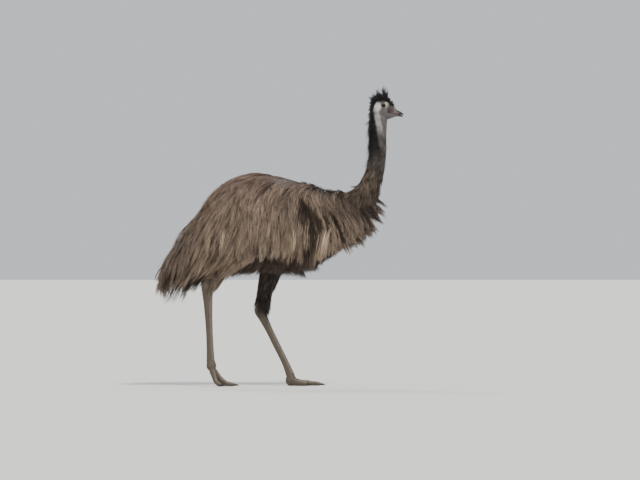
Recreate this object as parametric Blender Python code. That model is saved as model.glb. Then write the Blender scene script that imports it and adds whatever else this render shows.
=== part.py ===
"""A life-size still model of an emu caught in mid stride.

Units are metres, +Z is up, the bird faces +X and its right side is at -Y.
The origin lies on the floor, under the middle of the whole bird.
"""

import math
import random

import bmesh
import bpy
import numpy as np
from mathutils import Matrix, Vector

# Driving sizes

SEED = 20
GAP = 0.0003  # clear space between two pieces that touch
LOCK_CLEAR = 0.0005  # room round a lock where it lies on another piece
TIP_CLEARS = 6  # times that past its tip
SIDE = Vector((0, 1, 0))
RIGHT, LEFT = -1, 1
SCUTE_READS = 121  # fine steps from which rows of scutes are read

# Body stations at the plume tips, back to front: x, top, bottom, half width
COAT = [
    (-0.668, 0.575, 0.520, 0.020),
    (-0.613, 0.714, 0.490, 0.080),
    (-0.541, 0.808, 0.510, 0.125),
    (-0.438, 0.921, 0.560, 0.175),
    (-0.335, 1.045, 0.590, 0.205),
    (-0.231, 1.128, 0.615, 0.225),
    (-0.107, 1.149, 0.625, 0.235),
    (0.027, 1.123, 0.622, 0.230),
    (0.182, 1.087, 0.632, 0.205),
    (0.285, 1.062, 0.680, 0.175),
    (0.380, 1.050, 0.760, 0.140),
    (0.460, 1.020, 0.800, 0.100),
    (0.530, 0.960, 0.890, 0.030),
]
# The core in which the plumes root, at most half way out to their tips
CORE = [
    (-0.600, 0.652, 0.622, 0.012),
    (-0.520, 0.770, 0.670, 0.045),
    (-0.450, 0.870, 0.650, 0.100),
    (-0.350, 1.000, 0.655, 0.155),
    (-0.231, 1.103, 0.668, 0.182),
    (-0.107, 1.127, 0.678, 0.192),
    (0.027, 1.100, 0.680, 0.187),
    (0.182, 1.062, 0.700, 0.167),
    (0.285, 1.036, 0.740, 0.142),
    (0.380, 1.025, 0.800, 0.110),
    (0.450, 1.000, 0.850, 0.073),
    (0.500, 0.955, 0.890, 0.025),
]
BODY_WIDEST = 0.38  # share of the height at which the body is widest

# Which way the plumes lie: x, lean back from plumb at the flank and at the spine, degrees
LIE = [
    (-0.62, 50, 72),
    (-0.45, 44, 68),
    (-0.30, 25, 60),
    (-0.15, 9, 42),
    (0.00, 3, 20),
    (0.10, 0, 4),
    (0.20, -11, -8),
    (0.30, -20, -14),
    (0.40, -30, -22),
    (0.53, -42, -40),
]
SPINE_SPREAD = 0.7  # how strongly plumes leave the spine sideways
NECK_DRIFT = 0.2  # how much of the way up a neck plume gives away on its way down

# Tiers of plume locks on each side: degrees round from the spine, first and last x,
# how many, length, half width
BODY_TIERS = [
    (7, -0.45, 0.34, 7, 0.235, 0.046),
    (28, -0.52, 0.38, 8, 0.250, 0.047),
    (52, -0.54, 0.41, 9, 0.250, 0.044),
    (76, -0.54, 0.44, 9, 0.240, 0.042),
    (101, -0.52, 0.45, 8, 0.205, 0.042),
    (130, -0.47, 0.40, 7, 0.135, 0.038),
]
TIER_JITTER = 0.2  # share of a place's width by which a lock strays along its tier
TURN_JITTER = 4.0  # degrees
LENGTH_JITTER = 0.12
LIFT_JITTER = 0.08
WIDTH_JITTER = 0.12
WING_PARTING = (0.105, 0.235)  # two tiers leave the wing showing here
WING_PARTING_TIERS = (60, 110)
TAIL_END = -0.672
SHORTENING = 0.93  # a lock past the tail's end is shortened by this until it fits
BODY_SINK, BODY_LIFT = -0.35, 1.0  # depth at root and tip: 0 on the core, 1 on the coat
LIFT_POWER = 0.75  # how early a lock rises on its way
LOCK_FLATNESS = 0.30  # rise of a lock's ridge beside its half width
LONG_TAPER = (0.60, 1.00, 0.92, 0.60)  # width at each ring from the root; the tip is a point
SHORT_TAPER = (0.70, 1.00, 0.66)
WALK_STEPS = 4  # from one ring of a lock to the next
NUDGE = 0.004  # how far apart a surface is read to find its slope
TABLE_ROWS = 120

# Loose tufts at the breast: root x and height, tip x and height, away from the middle
BREAST_TUFTS = [
    (0.485, 1.010, 0.590, 0.966, 0.012),
    (0.470, 0.975, 0.578, 0.925, 0.030),
    (0.455, 0.940, 0.570, 0.876, 0.022),
    (0.430, 0.900, 0.530, 0.812, 0.052),
]
TUFT_HALF_WIDTH = 0.012
TUFT_SPREAD = 1.5  # how much farther from the middle a tuft's tip lies than its root
TUFT_SAG = (0.05, 0.15)  # share of its length

# Neck stations at the plume tips, bottom to top: x, height, half width, half depth
NECK = [
    (0.330, 0.930, 0.095, 0.095),
    (0.420, 0.990, 0.088, 0.090),
    (0.475, 1.060, 0.062, 0.070),
    (0.503, 1.120, 0.050, 0.057),
    (0.527, 1.190, 0.043, 0.048),
    (0.533, 1.275, 0.038, 0.046),
    (0.534, 1.355, 0.033, 0.043),
    (0.540, 1.430, 0.030, 0.040),
    (0.550, 1.490, 0.022, 0.030),
]
NECK_CORE = [
    (0.330, 0.930, 0.075, 0.075),
    (0.415, 0.985, 0.062, 0.066),
    (0.472, 1.055, 0.046, 0.052),
    (0.503, 1.120, 0.038, 0.043),
    (0.527, 1.190, 0.034, 0.038),
    (0.5360, 1.275, 0.032, 0.038),
    (0.5395, 1.355, 0.031, 0.0385),
    (0.5440, 1.430, 0.0295, 0.0370),
    (0.5530, 1.490, 0.022, 0.028),
]
# Rings of neck locks: share of the way up, first and last degrees round from the front,
# how many, length, half width, node
NECK_TIERS = [
    (0.20, 75, 285, 6, 0.140, 0.034, "torso"),
    (0.30, 30, 330, 7, 0.130, 0.032, "torso"),
    (0.39, 0, 360, 6, 0.115, 0.030, "neck_lower"),
    (0.48, 30, 390, 6, 0.105, 0.026, "neck_lower"),
    (0.575, 0, 360, 6, 0.095, 0.022, "neck_lower"),
    (0.66, 60, 300, 5, 0.075, 0.018, "neck_upper"),
    (0.74, 90, 270, 4, 0.055, 0.013, "neck_upper"),
    (0.82, 115, 245, 3, 0.048, 0.012, "neck_upper"),
    (0.89, 125, 235, 3, 0.045, 0.011, "neck_upper"),
]
NECK_SINK = -0.6
NECK_LIFT = (0.9, 1.15)
NECK_LENGTHS = (0.85, 1.15)
NECK_WIDTHS = (0.9, 1.1)
NECK_TURN_JITTER = 5.0  # degrees
NECK_START_JITTER = 0.01

# Head stations, nape to face: x, top, bottom, half width
HEAD = [
    (0.502, 1.516, 1.492, 0.008),
    (0.507, 1.530, 1.476, 0.017),
    (0.522, 1.545, 1.452, 0.0265),
    (0.545, 1.553, 1.438, 0.0310),
    (0.568, 1.552, 1.436, 0.0308),
    (0.590, 1.542, 1.440, 0.0270),
    (0.604, 1.530, 1.4445, 0.0235),
    (0.6130, 1.5205, 1.4475, 0.0215),
]
CREST = [
    (0.492, 1.520, 1.485, 0.010),
    (0.502, 1.544, 1.490, 0.022),
    (0.525, 1.562, 1.500, 0.030),
    (0.555, 1.570, 1.505, 0.032),
    (0.585, 1.558, 1.505, 0.028),
    (0.604, 1.540, 1.505, 0.019),
    (0.612, 1.528, 1.508, 0.010),
]
# Rows of crest and nape locks: x, height, half spread, how many, length, lean back in degrees
CREST_ROWS = [
    (0.606, 1.528, 0.012, 3, 0.024, -55),
    (0.592, 1.545, 0.018, 3, 0.036, -22),
    (0.573, 1.556, 0.020, 4, 0.068, 6),
    (0.550, 1.560, 0.022, 4, 0.054, 24),
    (0.528, 1.553, 0.022, 4, 0.046, 44),
    (0.512, 1.535, 0.020, 4, 0.044, 66),
    (0.506, 1.508, 0.018, 3, 0.038, 105),
    (0.508, 1.478, 0.016, 3, 0.036, 140),
]
CREST_HALF_WIDTH = 0.0070
CREST_SINK = 0.007
CREST_LEAN_JITTER = 14.0  # degrees
CREST_SPLAY = 0.45  # sideways lean of the outermost lock of a row
CREST_STRAY = 0.003
CREST_LENGTHS = (0.8, 1.15)
CREST_BACK_BEND = (0.1, 0.3)  # share of its length
CREST_SAG = 0.1
CREST_WIDTHS = (0.85, 1.15)
HEAD_CURVE = 14.0  # how fast the crown falls away to each side
HEAD_WIDEST = 0.58

# Bill stations, base to tip: x, top, bottom, half width
BILL_BASE = 0.6133
BILL_UPPER = [
    (BILL_BASE, 1.5170, 1.4690, 0.0205),
    (0.6270, 1.5030, 1.4680, 0.0190),
    (0.6420, 1.4910, 1.4670, 0.0160),
    (0.6560, 1.4830, 1.4660, 0.0125),
    (0.6680, 1.4765, 1.4635, 0.0080),
    (0.6745, 1.4690, 1.4605, 0.0030),
]
BILL_LOWER = [
    (BILL_BASE, 1.4675, 1.4490, 0.0195),
    (0.6270, 1.4662, 1.4520, 0.0175),
    (0.6420, 1.4645, 1.4545, 0.0145),
    (0.6560, 1.4625, 1.4545, 0.0110),
    (0.6670, 1.4590, 1.4525, 0.0060),
    (0.6710, 1.4565, 1.4525, 0.0025),
]
MOUTH_HEIGHT = 1.4682
MOUTH_SLIT = 0.0010
MOUTH_BACK = 0.590
UPPER_WIDEST, LOWER_WIDEST = 0.12, 0.88  # the two halves are widest where they meet

EYE = Vector((0.5665, 0.0205, 1.5130))  # the left one
EYE_RADIUS = 0.0135
LID_RADIUS = 0.0120
LID_THICKNESS = 0.0026
LID_OUT = 0.0012  # past the ring in which the eye's ball is as wide as the lid
LID_PLACES, LID_SIDES = 12, 5
EAR = Vector((0.5460, 0.0330, 1.4930))
EAR_SIZE = Vector((0.0055, 0.0050, 0.0065))
NOSTRIL = Vector((0.6440, 0.0135, 1.4800))
NOSTRIL_SIZE = Vector((0.0062, 0.0030, 0.0017))

# Where the whole body is parted: a point on each cut and the way towards the head
CUT_REACH = 3.0  # past the whole bird
TAIL_CUT = (Vector((-0.400, 0, 0.8)), Vector((1, 0, 0)))
NECK_CUT = (Vector((0.492, 0, 1.100)), Vector((0.50, 0, 0.866)))
NAPE_CUT = (Vector((0.533, 0, 1.275)), Vector((0, 0, 1)))
THROAT_CUT = (Vector((0.545, 0, 1.425)), Vector((-0.20, 0, 0.98)))

# Legs: hip side to floor, x, y away from the middle, height, half width, half depth
NEAR_DRUMSTICK = [
    (-0.070, 0.105, 0.780, 0.060, 0.078),
    (-0.130, 0.108, 0.742, 0.056, 0.070),
    (-0.210, 0.106, 0.684, 0.046, 0.056),
    (-0.300, 0.102, 0.616, 0.034, 0.040),
    (-0.364, 0.098, 0.565, 0.026, 0.031),
]
FAR_DRUMSTICK = [
    (0.000, 0.105, 0.760, 0.060, 0.078),
    (-0.022, 0.103, 0.690, 0.054, 0.068),
    (-0.050, 0.098, 0.590, 0.042, 0.051),
    (-0.078, 0.092, 0.490, 0.031, 0.037),
    (-0.094, 0.089, 0.430, 0.026, 0.031),
]
NEAR_SHANK = [
    (-0.3590, 0.0983, 0.5690, 0.0225, 0.0265),
    (-0.3810, 0.0970, 0.5450, 0.0270, 0.0340),
    (-0.3820, 0.0955, 0.5150, 0.0245, 0.0310),
    (-0.3795, 0.0920, 0.4550, 0.0190, 0.0255),
    (-0.3738, 0.0870, 0.3350, 0.0155, 0.0200),
    (-0.3680, 0.0825, 0.2030, 0.0165, 0.0200),
    (-0.3650, 0.0800, 0.1280, 0.0215, 0.0230),
]
FAR_SHANK = [
    (-0.0920, 0.0893, 0.4370, 0.0225, 0.0265),
    (-0.0990, 0.0880, 0.4050, 0.0270, 0.0330),
    (-0.0880, 0.0865, 0.3780, 0.0235, 0.0275),
    (-0.0630, 0.0830, 0.3250, 0.0170, 0.0215),
    (-0.0100, 0.0760, 0.2170, 0.0155, 0.0195),
    (0.0430, 0.0700, 0.1080, 0.0165, 0.0200),
    (0.0630, 0.0670, 0.0580, 0.0215, 0.0235),
]
SHANK_SIDES = 10
SHANK_PLAIN = 0.16  # share of a shank above its first scute
SHANK_SCUTES = 10
SCUTE_REACH = math.radians(75)  # how far a scute wraps to each side
SCUTE_RISE = 0.0018
SCUTE_EDGE = 0.06  # share of a scute's length over which it steps back down

# Toes, from the hub outwards: reach, height, half width, half height
FLAT_TOE = [
    (0.010, 0.0250, 0.0110, 0.0190),
    (0.040, 0.0195, 0.0135, 0.0185),
    (0.070, 0.0155, 0.0145, 0.0155),
    (0.095, 0.0145, 0.0150, 0.0160),
    (0.118, 0.0120, 0.0128, 0.0132),
    (0.142, 0.0110, 0.0120, 0.0125),
    (0.160, 0.0095, 0.0085, 0.0095),
]
TIPTOE = [
    (0.006, 0.1000, 0.0110, 0.0170),
    (0.026, 0.0720, 0.0125, 0.0170),
    (0.044, 0.0480, 0.0130, 0.0155),
    (0.064, 0.0280, 0.0140, 0.0155),
    (0.086, 0.0150, 0.0128, 0.0140),
    (0.108, 0.0110, 0.0118, 0.0125),
    (0.124, 0.0095, 0.0085, 0.0095),
]
TIPTOE_SIDE = [
    (0.002, 0.0980, 0.0105, 0.0150),
    (0.012, 0.0720, 0.0115, 0.0150),
    (0.021, 0.0520, 0.0118, 0.0138),
    (0.029, 0.0330, 0.0122, 0.0132),
    (0.041, 0.0180, 0.0115, 0.0125),
    (0.056, 0.0105, 0.0100, 0.0115),
    (0.066, 0.0092, 0.0080, 0.0094),
]
SIDE_TOE_SHARE = 0.68  # reach of a flat side toe beside the middle one
# Each toe's turn away from the body, and how far its root lies from the middle of the hub
TOES = (("inner", -30, -0.013), ("middle", -2, 0.0), ("outer", 28, 0.013))
TOE_SIDES = 8
TOE_PLAIN = 0.12
TOE_SCUTES = 4
TOE_SCUTE_RISE = 0.0012
CLAW_LENGTH = 0.030
CLAW_RADIUS = 0.0075
CLAW_NARROW = 0.85  # width beside depth
CLAW_TAPER = 0.7
CLAW_TIP = 0.0008
CLAW_HOOK = 0.0045
CLAW_ROWS = 6
BALL_AHEAD = 0.004  # the ball of a foot lies this far ahead of its shank's end
LEGS = {
    "right": {
        "side": RIGHT,
        "drumstick": NEAR_DRUMSTICK,
        "shank": NEAR_SHANK,
        "toes": {"inner": (TIPTOE_SIDE, 1), "middle": (TIPTOE, 1), "outer": (TIPTOE_SIDE, 1)},
        "ball": Vector((0.027, 0.029, 0.030)),
        "ball_height": 0.112,
    },
    "left": {
        "side": LEFT,
        "drumstick": FAR_DRUMSTICK,
        "shank": FAR_SHANK,
        "toes": {
            "inner": (FLAT_TOE, SIDE_TOE_SHARE),
            "middle": (FLAT_TOE, 1),
            "outer": (FLAT_TOE, SIDE_TOE_SHARE),
        },
        "ball": Vector((0.031, 0.031, 0.034)),
        "ball_height": 0.030,
    },
}

# The small wing, on its left side: shoulder, elbow and hand, then where its plumes end
WING_ARM = (
    Vector((0.270, 0.070, 0.975)),
    Vector((0.245, 0.148, 0.905)),
    Vector((0.165, 0.172, 0.865)),
)
WING_ROWS = (
    (WING_ARM[0], 0.017, 0.020),
    (WING_ARM[1], 0.016, 0.019),
    (WING_ARM[2], 0.008, 0.010),
)
WING_TIPS = (Vector((0.268, 0.158, 0.690)), Vector((0.130, 0.182, 0.665)))
WING_PLUMES = 6
WING_PLUME_HALF_WIDTH = 0.014
WING_BOW = (0.008, 0.0112)  # how far the plumes bow outwards, by turns
WING_STRAY = Vector((0.010, 0, 0.025))  # of a plume's tip
WING_WIDTHS = (0.85, 1.15)

FEATHER_BROWN = (0.235, 0.170, 0.115)
CREST_BLACK = (0.020, 0.018, 0.020)
FACE_PALE = (0.50, 0.52, 0.53)
BILL_GREY = (0.085, 0.070, 0.065)
EYE_BROWN = (0.060, 0.028, 0.012)
SHANK_BROWN = (0.150, 0.120, 0.090)
CLAW_BLACK = (0.030, 0.027, 0.025)


def clear_scene():
    for old in list(bpy.data.objects):
        bpy.data.objects.remove(old)


def collection(name, shown=True):
    made = bpy.data.collections.new(name)
    bpy.context.scene.collection.children.link(made)
    made.hide_render = not shown
    return made


def finish(name, colour, roughness):
    """A plain Principled material."""
    material = bpy.data.materials.new(name)
    material.use_nodes = True
    shader = material.node_tree.nodes["Principled BSDF"]
    shader.inputs["Base Color"].default_value = (*colour, 1)
    shader.inputs["Roughness"].default_value = roughness
    return material


def smooth_rows(stations, count):
    """Rows read at even steps from a smooth curve through the stations."""
    rows = np.array(stations, float)
    runs = np.linalg.norm(np.diff(rows[:, :3], axis=0), axis=1)
    along = np.concatenate([[0], np.cumsum(runs)])
    slopes = np.gradient(rows, along, axis=0)
    read = []
    for place in np.linspace(0, along[-1], count):
        i = min(np.searchsorted(along, place, side="right") - 1, len(rows) - 2)
        span = along[i + 1] - along[i]
        t = (place - along[i]) / span
        read.append(
            rows[i] * (2 * t**3 - 3 * t**2 + 1)
            + slopes[i] * span * (t**3 - 2 * t**2 + t)
            + rows[i + 1] * (3 * t**2 - 2 * t**3)
            + slopes[i + 1] * span * (t**3 - t**2)
        )
    return read


def mesh_object(name, bm, home):
    """An object of the built mesh, in triangles and facing outward."""
    bmesh.ops.triangulate(bm, faces=bm.faces)
    bmesh.ops.recalc_face_normals(bm, faces=bm.faces)
    if bm.calc_volume(signed=True) < 0:
        bmesh.ops.reverse_faces(bm, faces=bm.faces)
    mesh = bpy.data.meshes.new(name)
    bm.to_mesh(mesh)
    bm.free()
    made = bpy.data.objects.new(name, mesh)
    home.objects.link(made)
    return made


def loft(name, rings, home, tip=None):
    """A closed skin over rings of as many points each, with flat ends or a pointed last one."""
    bm = bmesh.new()
    loops = [[bm.verts.new(point) for point in ring] for ring in rings]
    for first, second in zip(loops, loops[1:]):
        for i in range(len(first)):
            bm.faces.new((first[i - 1], first[i], second[i]))
            bm.faces.new((first[i - 1], second[i], second[i - 1]))
    bm.faces.new(loops[0])
    if tip is None:
        bm.faces.new(loops[-1])
    else:
        point = bm.verts.new(tip)
        for i in range(len(loops[-1])):
            bm.faces.new((loops[-1][i - 1], loops[-1][i], point))
    return mesh_object(name, bm, home)


def upright_ring(x, top, bottom, half_width, widest, sides):
    """A ring in the plane of one x, widest at a share of its height."""
    middle = bottom + (top - bottom) * widest
    ring = []
    for i in range(sides):
        turn = math.tau * i / sides
        reach = top - middle if math.cos(turn) > 0 else middle - bottom
        ring.append(Vector((x, half_width * math.sin(turn), middle + reach * math.cos(turn))))
    return ring


def upright_loft(name, stations, widest, sides, count, home):
    rings = [upright_ring(*row, widest, sides) for row in smooth_rows(stations, count)]
    return loft(name, rings, home)


def path_loft(name, rows, sides, home, floor=None):
    """A limb along rows of x, y, z, half width, half depth and, if there are scutes, their rise."""
    centres = [Vector(row[:3]) for row in rows]
    rings = []
    for i, row in enumerate(rows):
        ahead = centres[min(i + 1, len(rows) - 1)] - centres[max(i - 1, 0)]
        across = ahead.cross(SIDE).cross(ahead).normalized()
        front = ahead.cross(across).normalized()
        rise = row[5] if len(row) > 5 else 0.0
        ring = []
        for j in range(sides):
            turn = math.tau * j / sides
            way = across * row[3] * math.sin(turn) + front * row[4] * math.cos(turn)
            facing = abs((turn + math.pi) % math.tau - math.pi)
            if facing < SCUTE_REACH:
                way += way.normalized() * rise
            point = centres[i] + way
            if floor is not None:
                point.z = max(point.z, floor)
            ring.append(point)
        rings.append(ring)
    return loft(name, rings, home)


def scuted_rows(stations, plain, count, rise):
    """Smooth rows with a saw edge of overlapping scutes on them after the first plain share."""
    fine = smooth_rows(stations, SCUTE_READS)
    last = SCUTE_READS - 1
    first = int(plain * last)
    rows = [(*fine[first * i // 3], 0.0) for i in range(3)]
    edges = np.linspace(first, last, count + 1)
    for start, end in zip(edges, edges[1:]):
        for place, lift in ((start, 0.0), (end - (end - start) * SCUTE_EDGE, rise)):
            low = min(int(place), last - 1)
            rows.append((*(fine[low] + (fine[low + 1] - fine[low]) * (place - low)), lift))
    rows.append((*fine[last], 0.0))
    return rows


def ellipsoid(name, centre, size, home, rings=10):
    bm = bmesh.new()
    bmesh.ops.create_uvsphere(bm, u_segments=rings + 4, v_segments=rings, radius=1)
    bmesh.ops.scale(bm, vec=size, verts=bm.verts)
    bmesh.ops.translate(bm, vec=centre, verts=bm.verts)
    return mesh_object(name, bm, home)


def block(name, low, high, home, turn=None, about=None):
    """A cutter box, turned about a point."""
    bm = bmesh.new()
    bmesh.ops.create_cube(bm, size=1)
    low, high = Vector(low), Vector(high)
    bmesh.ops.scale(bm, vec=high - low, verts=bm.verts)
    bmesh.ops.translate(bm, vec=(low + high) / 2, verts=bm.verts)
    if turn is not None:
        bmesh.ops.transform(bm, matrix=Matrix.Translation(about) @ turn, verts=bm.verts)
    made = mesh_object(name, bm, home)
    made.display_type = "WIRE"
    made.hide_render = True
    return made


def applied(target):
    """Keeps what the modifiers make as the object's own mesh."""
    bpy.context.view_layer.update()
    graph = bpy.context.evaluated_depsgraph_get()
    mesh = bpy.data.meshes.new_from_object(target.evaluated_get(graph))
    target.modifiers.clear()
    target.data = mesh
    return target


def boolean(target, operation, other):
    """Joins or cuts the target with an object, or with all of a collection, and removes those."""
    modifier = target.modifiers.new(operation.title(), "BOOLEAN")
    modifier.operation = operation
    modifier.solver = "MANIFOLD"
    if isinstance(other, bpy.types.Collection):
        modifier.operand_type = "COLLECTION"
        modifier.collection = other
    else:
        modifier.object = other
    applied(target)
    used = list(other.objects) if isinstance(other, bpy.types.Collection) else [other]
    for done in used:
        bpy.data.objects.remove(done)
    return target


def largest_surface(target):
    """Keeps only the closed surface that encloses most, and drops loose scraps."""
    bm = bmesh.new()
    bm.from_mesh(target.data)
    left = set(bm.verts)
    islands = []
    while left:
        island, edge = set(), [left.pop()]
        while edge:
            vert = edge.pop()
            island.add(vert)
            for link in vert.link_edges:
                other = link.other_vert(vert)
                if other in left:
                    left.remove(other)
                    edge.append(other)
        islands.append(island)
    size = {
        id(island): sum(face.calc_area() for face in {f for v in island for f in v.link_faces})
        for island in islands
    }
    kept = max(islands, key=lambda island: size[id(island)])
    bmesh.ops.delete(bm, geom=[v for v in bm.verts if v not in kept], context="VERTS")
    bm.to_mesh(target.data)
    bm.free()
    return target


def twin(source, name, home):
    made = source.copy()
    made.data = source.data.copy()
    made.name = made.data.name = name
    home.objects.link(made)
    return made


def grown(source, home):
    """A copy that stands out by the gap all round, to cut a neighbour clear of it."""
    made = twin(source, source.name + " grown", home)
    made.hide_render = True
    bm = bmesh.new()
    bm.from_mesh(made.data)
    bm.normal_update()
    moves = [(vert, vert.co + vert.normal * GAP) for vert in bm.verts]
    for vert, place in moves:
        vert.co = place
    bm.to_mesh(made.data)
    bm.free()
    return made


def beyond(cut, sign, home):
    """A large block on the head's side of a cut, or on the tail's side, that leaves half the gap."""
    point, way = cut
    turn = way.to_track_quat("X", "Z").to_matrix().to_4x4()
    near, far = -sign * GAP / 2, sign * CUT_REACH
    low = (min(near, far), -CUT_REACH, -CUT_REACH)
    high = (max(near, far), CUT_REACH, CUT_REACH)
    return block("Cut side", low, high, home, turn, point)


def trimmed(piece, cut, sign, cutters):
    """Takes off what lies past a cut, on the head's side or on the tail's."""
    return boolean(piece, "DIFFERENCE", beyond(cut, sign, cutters))


def feathered(whole, name, after, before, locks, over, home, joined, cutters):
    """One length of the bird from cut to cut, with its own locks and room for the next ones."""
    piece = twin(whole, name, home)
    if after:
        trimmed(piece, after, -1, cutters)
    if locks:
        dressed(piece, locks, joined)
    if before:
        trimmed(piece, before, 1, cutters)
    if over:
        cut_clear(piece, over, cutters)
    return largest_surface(piece)


def paint(target, material):
    target.data.materials.clear()
    target.data.materials.append(material)


def body_surface():
    """A function that gives a point of the body by its x, its turn from the spine and its depth."""
    tables = [np.array(smooth_rows(rows, TABLE_ROWS)) for rows in (CORE, COAT)]

    def place(x, turn, depth):
        levels = []
        for rows in tables:
            top, bottom, half = (np.interp(x, rows[:, 0], rows[:, k]) for k in (1, 2, 3))
            middle = bottom + (top - bottom) * BODY_WIDEST
            reach = top - middle if math.cos(turn) > 0 else middle - bottom
            across = half * math.sin(turn)
            levels.append(Vector((x, across, middle + reach * math.cos(turn))))
        return levels[0] + (levels[1] - levels[0]) * depth

    return place


def neck_surface():
    """The same for the neck, by the share of the way up and the turn from its front."""
    tables = [np.array(smooth_rows(rows, TABLE_ROWS)) for rows in (NECK_CORE, NECK)]
    shares = np.linspace(0, 1, TABLE_ROWS)

    def place(share, turn, depth):
        levels = []
        for rows in tables:
            x, z, wide, deep = (np.interp(share, shares, rows[:, k]) for k in range(4))
            ahead = [np.interp(share + NUDGE, shares, rows[:, k]) for k in (0, 1)]
            back = [np.interp(share - NUDGE, shares, rows[:, k]) for k in (0, 1)]
            up = Vector((ahead[0] - back[0], 0, ahead[1] - back[1])).normalized()
            front = SIDE.cross(up)
            out = SIDE * wide * math.sin(turn) + front * deep * math.cos(turn)
            levels.append(Vector((x, 0, z)) + out)
        return levels[0] + (levels[1] - levels[0]) * depth

    return place


def plume_lie(x, turn):
    """The way the body's plumes lie at a place: down, leaning back behind and forward in front."""
    places, flank, spine = zip(*LIE)
    share = max(math.cos(turn), 0.0) ** 2
    lean = np.interp(x, places, flank) * (1 - share) + np.interp(x, places, spine) * share
    lean = math.radians(lean)
    return Vector((-math.sin(lean), math.copysign(SPINE_SPREAD * share, turn), -math.cos(lean)))


def neck_lie(share, turn):
    return Vector((-NECK_DRIFT * share, 0, -1))


def walked(place, u, v, lie, length, sink, lift, rings=len(LONG_TAPER)):
    """A lock's path over a surface: points and outward ways, from its root out to its tip."""
    steps = WALK_STEPS * rings
    path = []
    for i in range(steps + 1):
        depth = sink + (lift - sink) * (i / steps) ** LIFT_POWER
        here = place(u, v, depth)
        along_u = (place(u + NUDGE, v, depth) - here) / NUDGE
        along_v = (place(u, v + NUDGE, depth) - here) / NUDGE
        out = along_u.cross(along_v).normalized()
        if out.dot(place(u, v, depth + 1) - here) < 0:
            out.negate()
        if i % WALK_STEPS == 0:
            path.append((here, out))
        way = lie(u, v)
        uu, uv, vv = along_u.dot(along_u), along_u.dot(along_v), along_v.dot(along_v)
        to_u, to_v = way.dot(along_u), way.dot(along_v)
        step_u = (vv * to_u - uv * to_v) / (uu * vv - uv * uv)
        step_v = (uu * to_v - uv * to_u) / (uu * vv - uv * uv)
        run = (along_u * step_u + along_v * step_v).length
        u += step_u / run * length / steps
        v += step_v / run * length / steps
    return path


def bent(root, aim, bend, out):
    """A short lock's path in the open air, along aim and bending as it goes."""
    steps = len(SHORT_TAPER)
    return [(root + aim * (i / steps) + bend * (i / steps) ** 2, out) for i in range(steps + 1)]


def lock(path, half_width, home, clear=0.0):
    """One flat tapered lock, or with some clear the cutter that makes room for it."""
    rings = []
    for i, taper in enumerate(LONG_TAPER if len(path) > len(LONG_TAPER) else SHORT_TAPER):
        point, out = path[i]
        ahead = (path[i + 1][0] - path[max(i - 1, 0)][0]).normalized()
        across = out.cross(ahead).normalized()
        up = ahead.cross(across)
        if i == 0:
            point = point - ahead * clear
        reach = across * (half_width * taper + clear)
        lift = up * clear
        ridge = point + up * half_width * taper * LOCK_FLATNESS + lift * 2
        if clear:
            ring = [point - reach - lift, point - reach + lift, ridge]
            rings.append(ring + [point + reach + lift, point + reach - lift])
        else:
            rings.append([point - reach, ridge, point + reach])
    tip, last = path[-1][0], path[-2][0]
    return loft("Lock", rings, home, tip=tip + (tip - last).normalized() * clear * TIP_CLEARS)


def near(draw, size, share):
    """A size drawn from a little below the given one to as much above it."""
    return size * draw.uniform(1 - share, 1 + share)


def body_locks(draw):
    """Every plume lock of the torso and the tail, by node."""
    place = body_surface()
    made = {"torso": [], "tail": []}
    low, high = WING_PARTING_TIERS
    for side in (RIGHT, LEFT):
        for tier, (degrees, first, last, count, length, half) in enumerate(BODY_TIERS):
            for i in range(count):
                stray = draw.uniform(-TIER_JITTER, TIER_JITTER)
                x = first + (last - first) * (i + 0.25 + 0.5 * (tier % 2) + stray) / count
                turn = side * math.radians(degrees + draw.uniform(-TURN_JITTER, TURN_JITTER))
                reach = near(draw, length, LENGTH_JITTER)
                lift = near(draw, BODY_LIFT, LIFT_JITTER)
                width = near(draw, half, WIDTH_JITTER)
                if low < degrees < high and WING_PARTING[0] < x < WING_PARTING[1]:
                    continue
                path = walked(place, x, turn, plume_lie, reach, BODY_SINK, lift)
                while path[-1][0].x < TAIL_END:
                    reach *= SHORTENING
                    path = walked(place, x, turn, plume_lie, reach, BODY_SINK, lift)
                made["tail" if x < TAIL_CUT[0].x else "torso"].append((path, width))
    for root_x, root_z, tip_x, tip_z, y in BREAST_TUFTS:
        for side in (RIGHT, LEFT):
            root = Vector((root_x, side * y, root_z))
            aim = Vector((tip_x, side * y * TUFT_SPREAD, tip_z)) - root
            sag = Vector((0, 0, aim.length * draw.uniform(*TUFT_SAG)))
            made["torso"].append((bent(root, aim + sag, -sag, SIDE * side), TUFT_HALF_WIDTH))
    return made


def neck_locks(draw):
    """The plume locks of the neck, by node."""
    place = neck_surface()
    made = {"torso": [], "neck_lower": [], "neck_upper": []}
    for share, first, last, count, length, half, node in NECK_TIERS:
        for i in range(count):
            degrees = first + (last - first) * (i + 0.5) / count
            turn = math.radians(degrees + draw.uniform(-NECK_TURN_JITTER, NECK_TURN_JITTER))
            reach = length * draw.uniform(*NECK_LENGTHS)
            lift = draw.uniform(*NECK_LIFT)
            start = share + draw.uniform(-NECK_START_JITTER, NECK_START_JITTER)
            path = walked(place, start, turn, neck_lie, reach, NECK_SINK, lift, len(SHORT_TAPER))
            made[node].append((path, half * draw.uniform(*NECK_WIDTHS)))
    return made


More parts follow.
